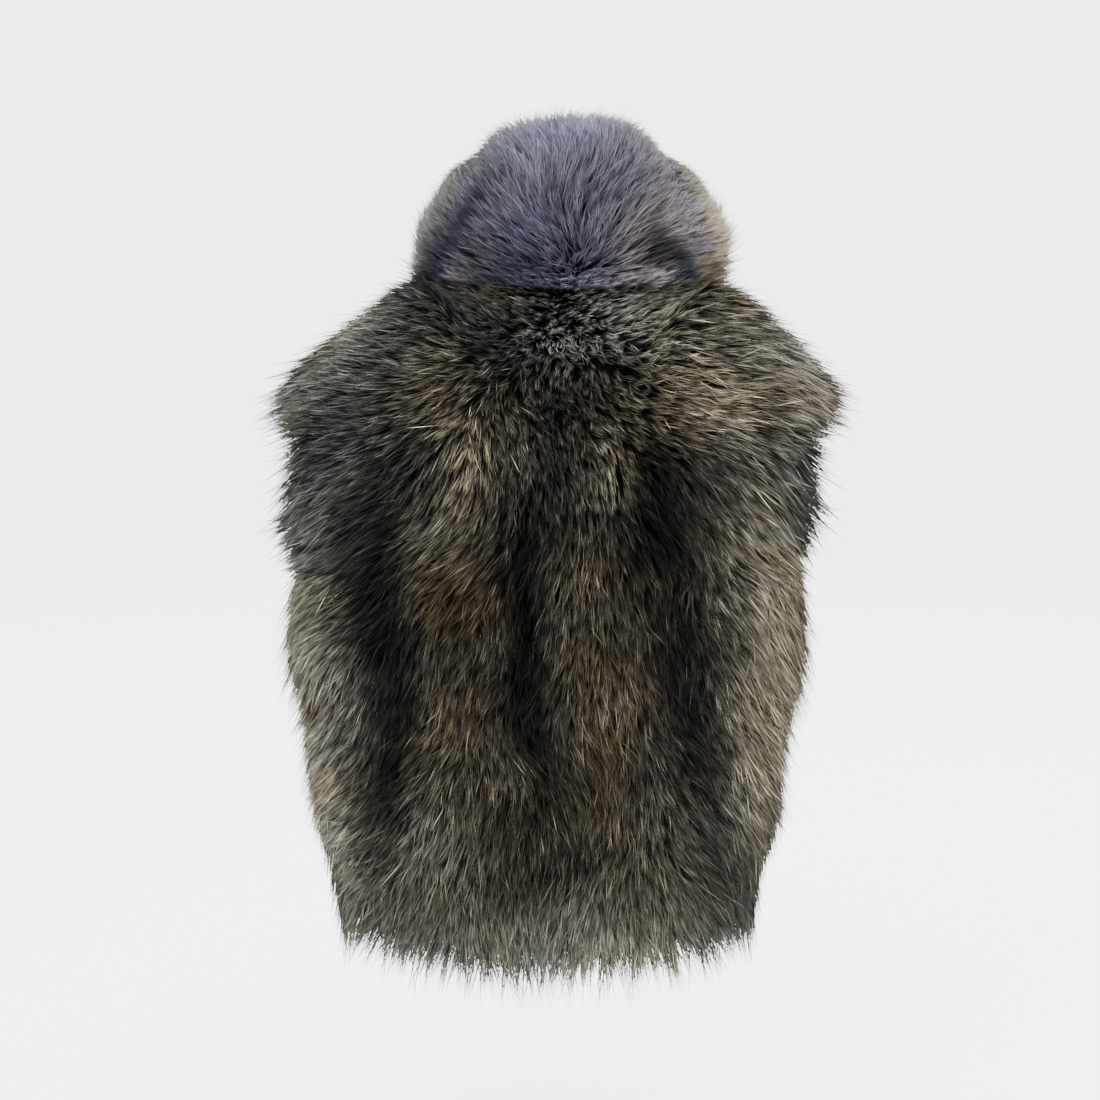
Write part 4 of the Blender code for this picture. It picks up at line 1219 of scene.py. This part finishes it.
def lock_values(made, centres, rng):
    """How each lock turns, reaches, stands, bends and shines, and how wild and how short of reach it is."""
    count = len(centres)
    share = read(made["reach"], centres)
    wild = between(share, WILD_FROM)
    mixed = LOCK_TURN + MORE_TURN_WHERE_SHORT * np.maximum(MORE_TURN_BELOW - share, 0.0)
    ragged = 1.0 + RAGGED * wild
    return {
        "turn": rng.normal(0.0, 1.0, count) * mixed,
        "reach": HAIR_REACH * share * (LOCK_REACH + REACH_UNEVEN * ragged * rng.uniform(-1.0, 1.0, count)),
        "height": read(made["stand"], centres) * rng.uniform(*LOCK_HEIGHTS, count),
        "light": rng.normal(0.0, LIGHT_UNEVEN, count),
        "bend": rng.uniform(*LOCK_BENDS, count),
        "wild": wild,
        "short": 1.0 - between(share, SHORT_BELOW),
    }


def roots_in_locks(made, centres, of_lock, rng):
    """A root for each hair, somewhere in the small circle of its lock."""
    count = len(of_lock)
    away = LOCK_RADIUS * np.sqrt(rng.uniform(0.0, 1.0, count))
    angle = rng.uniform(0.0, 2.0 * math.pi, count)
    along = read(made["along"], centres)[of_lock] * (away * np.cos(angle))[:, None]
    aside = read(made["aside"], centres)[of_lock] * (away * np.sin(angle))[:, None]
    limits = np.array(made["base"].shape[:2]) - 1.0
    return np.clip(centres[of_lock] + along + aside, 0.0, limits)


print("hairs in a lock:", HAIRS_IN_LOCK, "within", LOCK_RADIUS * 1000, "mm")

# %% [markdown]
# ## Hairs in a lock
# The hairs of a lock draw together towards its tip. One in eight is a longer and broader awn hair, which
# stands away from the lock. Each ribbon has a slight wave and is turned at random about its own line, so
# that from any side some show their flat side and some their edge.

# %% Lines of the hairs
AWN_SHARE = 0.13
HAIR_TURN = 0.08
AWN_TURN = 0.16
HAIR_REACHES = (0.80, 1.12)
AWN_LONGER = 0.35
HAIR_HEIGHTS = (0.86, 1.08)
AWN_HIGHER = 0.25
AWN_BEND = 1.1
DRAWN_TOGETHER = 0.62
MORE_DRAWN_WHERE_WILD = 0.22


def hair_lines(made, roots, lock, middle, awn, rng):
    """The middle line of each hair, drawn towards the middle of its lock."""
    count = len(roots)
    turn = lock["turn"] + rng.normal(0.0, HAIR_TURN, count) + awn * rng.normal(0.0, AWN_TURN, count)
    reach = lock["reach"] * rng.uniform(*HAIR_REACHES, count) * (1.0 + AWN_LONGER * awn)
    height = lock["height"] * rng.uniform(*HAIR_HEIGHTS, count) * (1.0 + AWN_HIGHER * awn)
    lines = path(made, roots, turn, reach, height, np.where(awn, AWN_BEND, lock["bend"]))
    drawn = (DRAWN_TOGETHER + MORE_DRAWN_WHERE_WILD * lock["wild"]) * (1.0 - awn)
    return lines + (middle - lines) * (drawn[:, None] * HAIR_STAGES**2)[..., None]


print("awn hairs reach", round(HAIR_REACH * (1.0 + AWN_LONGER) * 1000, 1), "mm along the cloth at full reach")

# %% Ribbons round the lines
HAIR_WIDTH = 0.00072
WIDTH_AT_STAGES = np.array([0.85, 1.0])
HAIR_WIDTHS = (0.75, 1.2)
AWN_WIDER = 0.3
WILD_WIDER = 0.7
WAVE = 0.0009
WAVE_LENGTH = 5.0
WAVE_STARTS = 6.28
ROLL = 1.25


def ribbon_corners(made, roots, lines, wild, awn, rng):
    """Two pairs of points and the tip for each hair."""
    count = len(roots)
    way = unit(np.gradient(lines, axis=1))
    normal = read(made["normals"], roots)[:, None, :]
    side = unit(np.cross(way, np.broadcast_to(normal, way.shape)))
    start = rng.uniform(0.0, WAVE_STARTS, count)[:, None]
    lines = lines + side * (WAVE * np.sin(HAIR_STAGES * WAVE_LENGTH + start) * HAIR_STAGES)[..., None]
    roll = rng.uniform(-ROLL, ROLL, count)[:, None, None]
    side = side * np.cos(roll) + np.cross(way, side) * np.sin(roll)
    width = HAIR_WIDTH * rng.uniform(*HAIR_WIDTHS, count)
    width = width * (1.0 + AWN_WIDER * awn) * (1.0 + WILD_WIDER * wild)
    pairs = len(WIDTH_AT_STAGES)
    half = side[:, :pairs] * (width[:, None] * WIDTH_AT_STAGES / 2.0)[..., None]
    edges = np.stack([lines[:, :pairs] - half, lines[:, :pairs] + half], 2).reshape(count, 2 * pairs, 3)
    return kept_near(leaned(np.concatenate([edges, lines[:, pairs:]], 1)))


print("hairs are", HAIR_WIDTH * 1000, "mm wide")

# %% [markdown]
# ## Light and shade of the hairs
# The light differs from lock to lock and from hair to hair, and in soft clouds a few centimetres across. One
# hair in nine has a bright band. The numbers are stops, as in the tables, and each panel's contrast scales
# them all.

# %% Shades of the hairs
BRIGHT_SHARE = 0.11
BRIGHT = 1.35
CLOUD = 0.45
CLOUD_SIZE = 0.030
CALMER_WHERE_WILD = 0.35
CALMER_WHERE_SHORT = 0.42
WARM_UNEVEN = 0.15
WARM_CLOUD = 0.32
WARM_CLOUD_SIZE = 0.040


def shades(made, roots, lines, lock, contrast, seed, rng):
    """How light and how warm each hair is."""
    count = len(roots)
    bright = rng.uniform(0.0, 1.0, count) < BRIGHT_SHARE
    uneven = lock["light"] + rng.normal(0.0, LIGHT_UNEVEN, count)
    uneven = uneven + CLOUD * drift(lines[:, 0], CLOUD_SIZE, seed + 7)
    calmer = 1.0 - CALMER_WHERE_WILD * lock["wild"] - CALMER_WHERE_SHORT * lock["short"]
    light = read(made["light"], roots) + contrast * calmer * (uneven + BRIGHT * bright)
    warm = read(made["warm"], roots) + rng.normal(0.0, WARM_UNEVEN, count)
    return light, warm + WARM_CLOUD * drift(lines[:, 0], WARM_CLOUD_SIZE, seed + 9)


print("bright hairs are", round(2.0**BRIGHT, 1), "times as light")

# %% The fur of each panel
def hairs(name, surface_name, first, last, locks, contrast, seed):
    """A mesh of many hairs in locks, as narrow ribbons."""
    made = SURFACES[surface_name]
    rng = np.random.default_rng(seed)
    last = made["base"].shape[1] - 1 if last is None else last
    centres = scattered(made, first, last, locks, rng)
    lock = lock_values(made, centres, rng)
    middle = path(made, centres, lock["turn"], lock["reach"], lock["height"], lock["bend"])
    of_lock = np.repeat(np.arange(locks), HAIRS_IN_LOCK)
    roots = roots_in_locks(made, centres, of_lock, rng)
    awn = rng.uniform(0.0, 1.0, len(roots)) < AWN_SHARE
    own = {key: values[of_lock] for key, values in lock.items()}
    lines = hair_lines(made, roots, own, middle[of_lock], awn, rng)
    corners = ribbon_corners(made, roots, lines, own["wild"], awn, rng)
    light, warm = shades(made, roots, lines, own, contrast, seed, rng)
    return ribbon_mesh(name, corners, light, warm)


BACK_MIDDLE = (2 * SHOULDER_COLUMNS + BACK_NECK_COLUMNS) * FINER // 2
# A row for each panel: name, cloth, surface, first and last column, locks, contrast, seed, slot
FUR = (
    ("back_fur_left", "back_cloth", "back", 0, BACK_MIDDLE, 8900, 1.15, 101, "fur_back"),
    ("back_fur_right", "back_cloth", "back", BACK_MIDDLE, None, 8900, 1.15, 102, "fur_back"),
    ("front_left_fur", "front_left_cloth", "front_left", 0, None, 7700, 1.15, 103, "fur_front"),
    ("front_right_fur", "front_right_cloth", "front_right", 0, None, 7700, 1.15, 104, "fur_front"),
    ("hood_left_fur", "hood_left_cloth", "hood", 0, HOOD_LEFT_END, 2300, 0.50, 105, "fur_hood_left"),
    ("hood_centre_fur", "hood_centre_cloth", "hood", HOOD_LEFT_END, HOOD_RIGHT_START, 4000, 0.50, 106,
     "fur_hood_centre"),
    ("hood_right_fur", "hood_right_cloth", "hood", HOOD_RIGHT_START, None, 2300, 0.50, 107, "fur_hood_right"),
)
PELTS = {}
for name, _, *how, _ in FUR:
    PELTS[name] = hairs(name, *how)
    print(name, len(PELTS[name].data.polygons) // 2, "hairs")

# %% [markdown]
# ## Materials
# The guard hairs are modacrylic fibre, tipped in the dye bath: nearly black at the root, brown-grey in the
# middle, with a light band before a fine dark tip. Their light and warm shades come from the attributes.
# The fibre is smooth, so it has a soft shine along the hair. The underfur is the same fibre, crimped and
# dull. The backing is a plain weft knit of polyester.

# %% Guard hair
FIBRE_STAGES = (0.30, 0.58, 0.84)
COOL_TINT = (0.80, 0.97, 1.40, 1.0)
WARM_TINT = (1.12, 1.00, 0.84, 1.0)
# A row for each slot: its colour at the root, in the middle, in the light band and at the tip
FIBRE = (
    ("fur_back", "#0A0909", "#22201C", "#706A55", "#302D28"),
    ("fur_front", "#0A0909", "#22201C", "#706A55", "#302D28"),
    ("fur_hood_centre", "#262528", "#3F3E42", "#615F65", "#403F43"),
    ("fur_hood_left", "#262524", "#3F3E3A", "#69675F", "#403F3B"),
    ("fur_hood_right", "#262522", "#403D34", "#736E5D", "#413E36"),
)


def fibre_material(slot_name, root, middle, band, tip):
    """Modacrylic guard hair, dark at the root and light near the tip."""
    made, tree, shader = new_material("modacrylic_guard_hair_dip_dyed_" + slot_name)
    stage = add(tree, "ShaderNodeAttribute", {"attribute_name": "stage"})
    light = add(tree, "ShaderNodeAttribute", {"attribute_name": "light"})
    warm = add(tree, "ShaderNodeAttribute", {"attribute_name": "warm"})
    ramp = add(tree, "ShaderNodeValToRGB", Fac=stage.outputs["Fac"])
    for place, code in zip(FIBRE_STAGES, (root, middle, band)):
        ramp.color_ramp.elements.new(place).color = linear(code)
    ramp.color_ramp.elements[0].color = linear(root)
    ramp.color_ramp.elements[-1].color = linear(tip)
    strength = add(tree, "ShaderNodeMath", {"operation": "POWER"}, _0=2.0, _1=light.outputs["Fac"])
    toned = add(tree, "ShaderNodeVectorMath", {"operation": "SCALE"}, _0=ramp.outputs["Color"])
    tree.links.new(strength.outputs["Value"], toned.inputs["Scale"])
    share = add(tree, "ShaderNodeMapRange", _0=warm.outputs["Fac"], _1=-1.0, _2=1.0, _3=0.0, _4=1.0)
    tint = add(tree, "ShaderNodeMix", {"data_type": "RGBA"}, Factor=share.outputs["Result"])
    tint.inputs["A"].default_value = COOL_TINT
    tint.inputs["B"].default_value = WARM_TINT
    both = add(tree, "ShaderNodeVectorMath", {"operation": "MULTIPLY"}, _0=toned.outputs["Vector"])
    tree.links.new(tint.outputs["Result"], both.inputs[1])
    tree.links.new(both.outputs["Vector"], shader.inputs["Base Color"])
    shader.inputs["Roughness"].default_value = 0.48
    shader.inputs["Specular IOR Level"].default_value = 0.10
    return made


FIBRES = {row[0]: fibre_material(*row) for row in FIBRE}
print("fibres", sorted(FIBRES))

# %% Underfur
# Its curls are about 2.4 mm across.
CURLS_IN_A_METRE = 420.0
under, tree, shader = new_material("modacrylic_underfur_crimped")
spot = add(tree, "ShaderNodeTexCoord")
fluff = add(tree, "ShaderNodeTexNoise", Vector=spot.outputs["Object"], Scale=CURLS_IN_A_METRE)
fluff.inputs["Detail"].default_value = 4.0
fluff.inputs["Roughness"].default_value = 0.7
# The curls are darker where they lie low: painted shade in the hollows, over the fibre's own dark colour.
depth = add(tree, "ShaderNodeMix", {"data_type": "RGBA"}, Factor=fluff.outputs["Fac"])
depth.inputs["A"].default_value = linear("#0B0A0B")
depth.inputs["B"].default_value = linear("#2A2521")
tree.links.new(depth.outputs["Result"], shader.inputs["Base Color"])
bump = add(tree, "ShaderNodeBump", Strength=0.8, Distance=0.002, Height=fluff.outputs["Fac"])
tree.links.new(bump.outputs["Normal"], shader.inputs["Normal"])
shader.inputs["Roughness"].default_value = 0.9
shader.inputs["Specular IOR Level"].default_value = 0.15
print(under.name, "has curls of", round(1000.0 / CURLS_IN_A_METRE, 1), "mm")

# %% Knitted backing
# Wales of such a backing are about 1 mm apart. They are drawn 3 mm apart, as coarse as they need to show.
WALE = 0.003
COURSE = 0.0024
STITCH_BOW = 4.0
COURSE_HEIGHT = 0.3
knit, tree, shader = new_material("polyester_backing_weft_knitted")
spot = add(tree, "ShaderNodeUVMap", {"uv_map": "cloth"})
axes = add(tree, "ShaderNodeSeparateXYZ", Vector=spot.outputs["UV"])
wale = add(tree, "ShaderNodeMath", {"operation": "MULTIPLY"}, _0=axes.outputs["X"], _1=math.pi / WALE)
arm = add(tree, "ShaderNodeMath", {"operation": "SINE"}, _0=wale.outputs["Value"])
bow = add(tree, "ShaderNodeMath", {"operation": "ABSOLUTE"}, _0=arm.outputs["Value"])
course = add(tree, "ShaderNodeMath", {"operation": "MULTIPLY"}, _0=axes.outputs["Y"])
course.inputs[1].default_value = 2.0 * math.pi / COURSE
bent = add(tree, "ShaderNodeMath", {"operation": "MULTIPLY_ADD"}, _0=bow.outputs["Value"], _1=STITCH_BOW)
tree.links.new(course.outputs["Value"], bent.inputs[2])
loop = add(tree, "ShaderNodeMath", {"operation": "SINE"}, _0=bent.outputs["Value"])
height = add(tree, "ShaderNodeMath", {"operation": "MULTIPLY_ADD"}, _0=loop.outputs["Value"])
height.inputs[1].default_value = COURSE_HEIGHT
tree.links.new(bow.outputs["Value"], height.inputs[2])
yarn = add(tree, "ShaderNodeMapRange", _0=height.outputs["Value"], _1=-COURSE_HEIGHT, _2=1.0 + COURSE_HEIGHT)
# The yarn is darker where the loops lie low: painted shade between the stitches.
tone = add(tree, "ShaderNodeMix", {"data_type": "RGBA"}, Factor=yarn.outputs["Result"])
tone.inputs["A"].default_value = linear("#1B1A1C")
tone.inputs["B"].default_value = linear("#3A383A")
tree.links.new(tone.outputs["Result"], shader.inputs["Base Color"])
bump = add(tree, "ShaderNodeBump", Strength=0.5, Distance=0.0006, Height=height.outputs["Value"])
tree.links.new(bump.outputs["Normal"], shader.inputs["Normal"])
shader.inputs["Roughness"].default_value = 0.85
print(knit.name, "has wales of", WALE * 1000, "mm")

# %% [markdown]
# ## Materials and places of the pieces
# Every sheet takes the underfur outside and the backing inside, replaces the plain solid of its panel and
# rides on the vest's one body. Every fur takes its fibre and rides on the same body.


for name, node, *_, slot_name in SHEETS:
    piece = CLOTH[name]
    piece.data.materials.append(under)
    piece.data.materials.append(knit)
    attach(piece, "root")
    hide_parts(node)
for name, *_, slot_name in FUR:
    PELTS[name].data.materials.append(FIBRES[slot_name])
    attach(PELTS[name], "root")
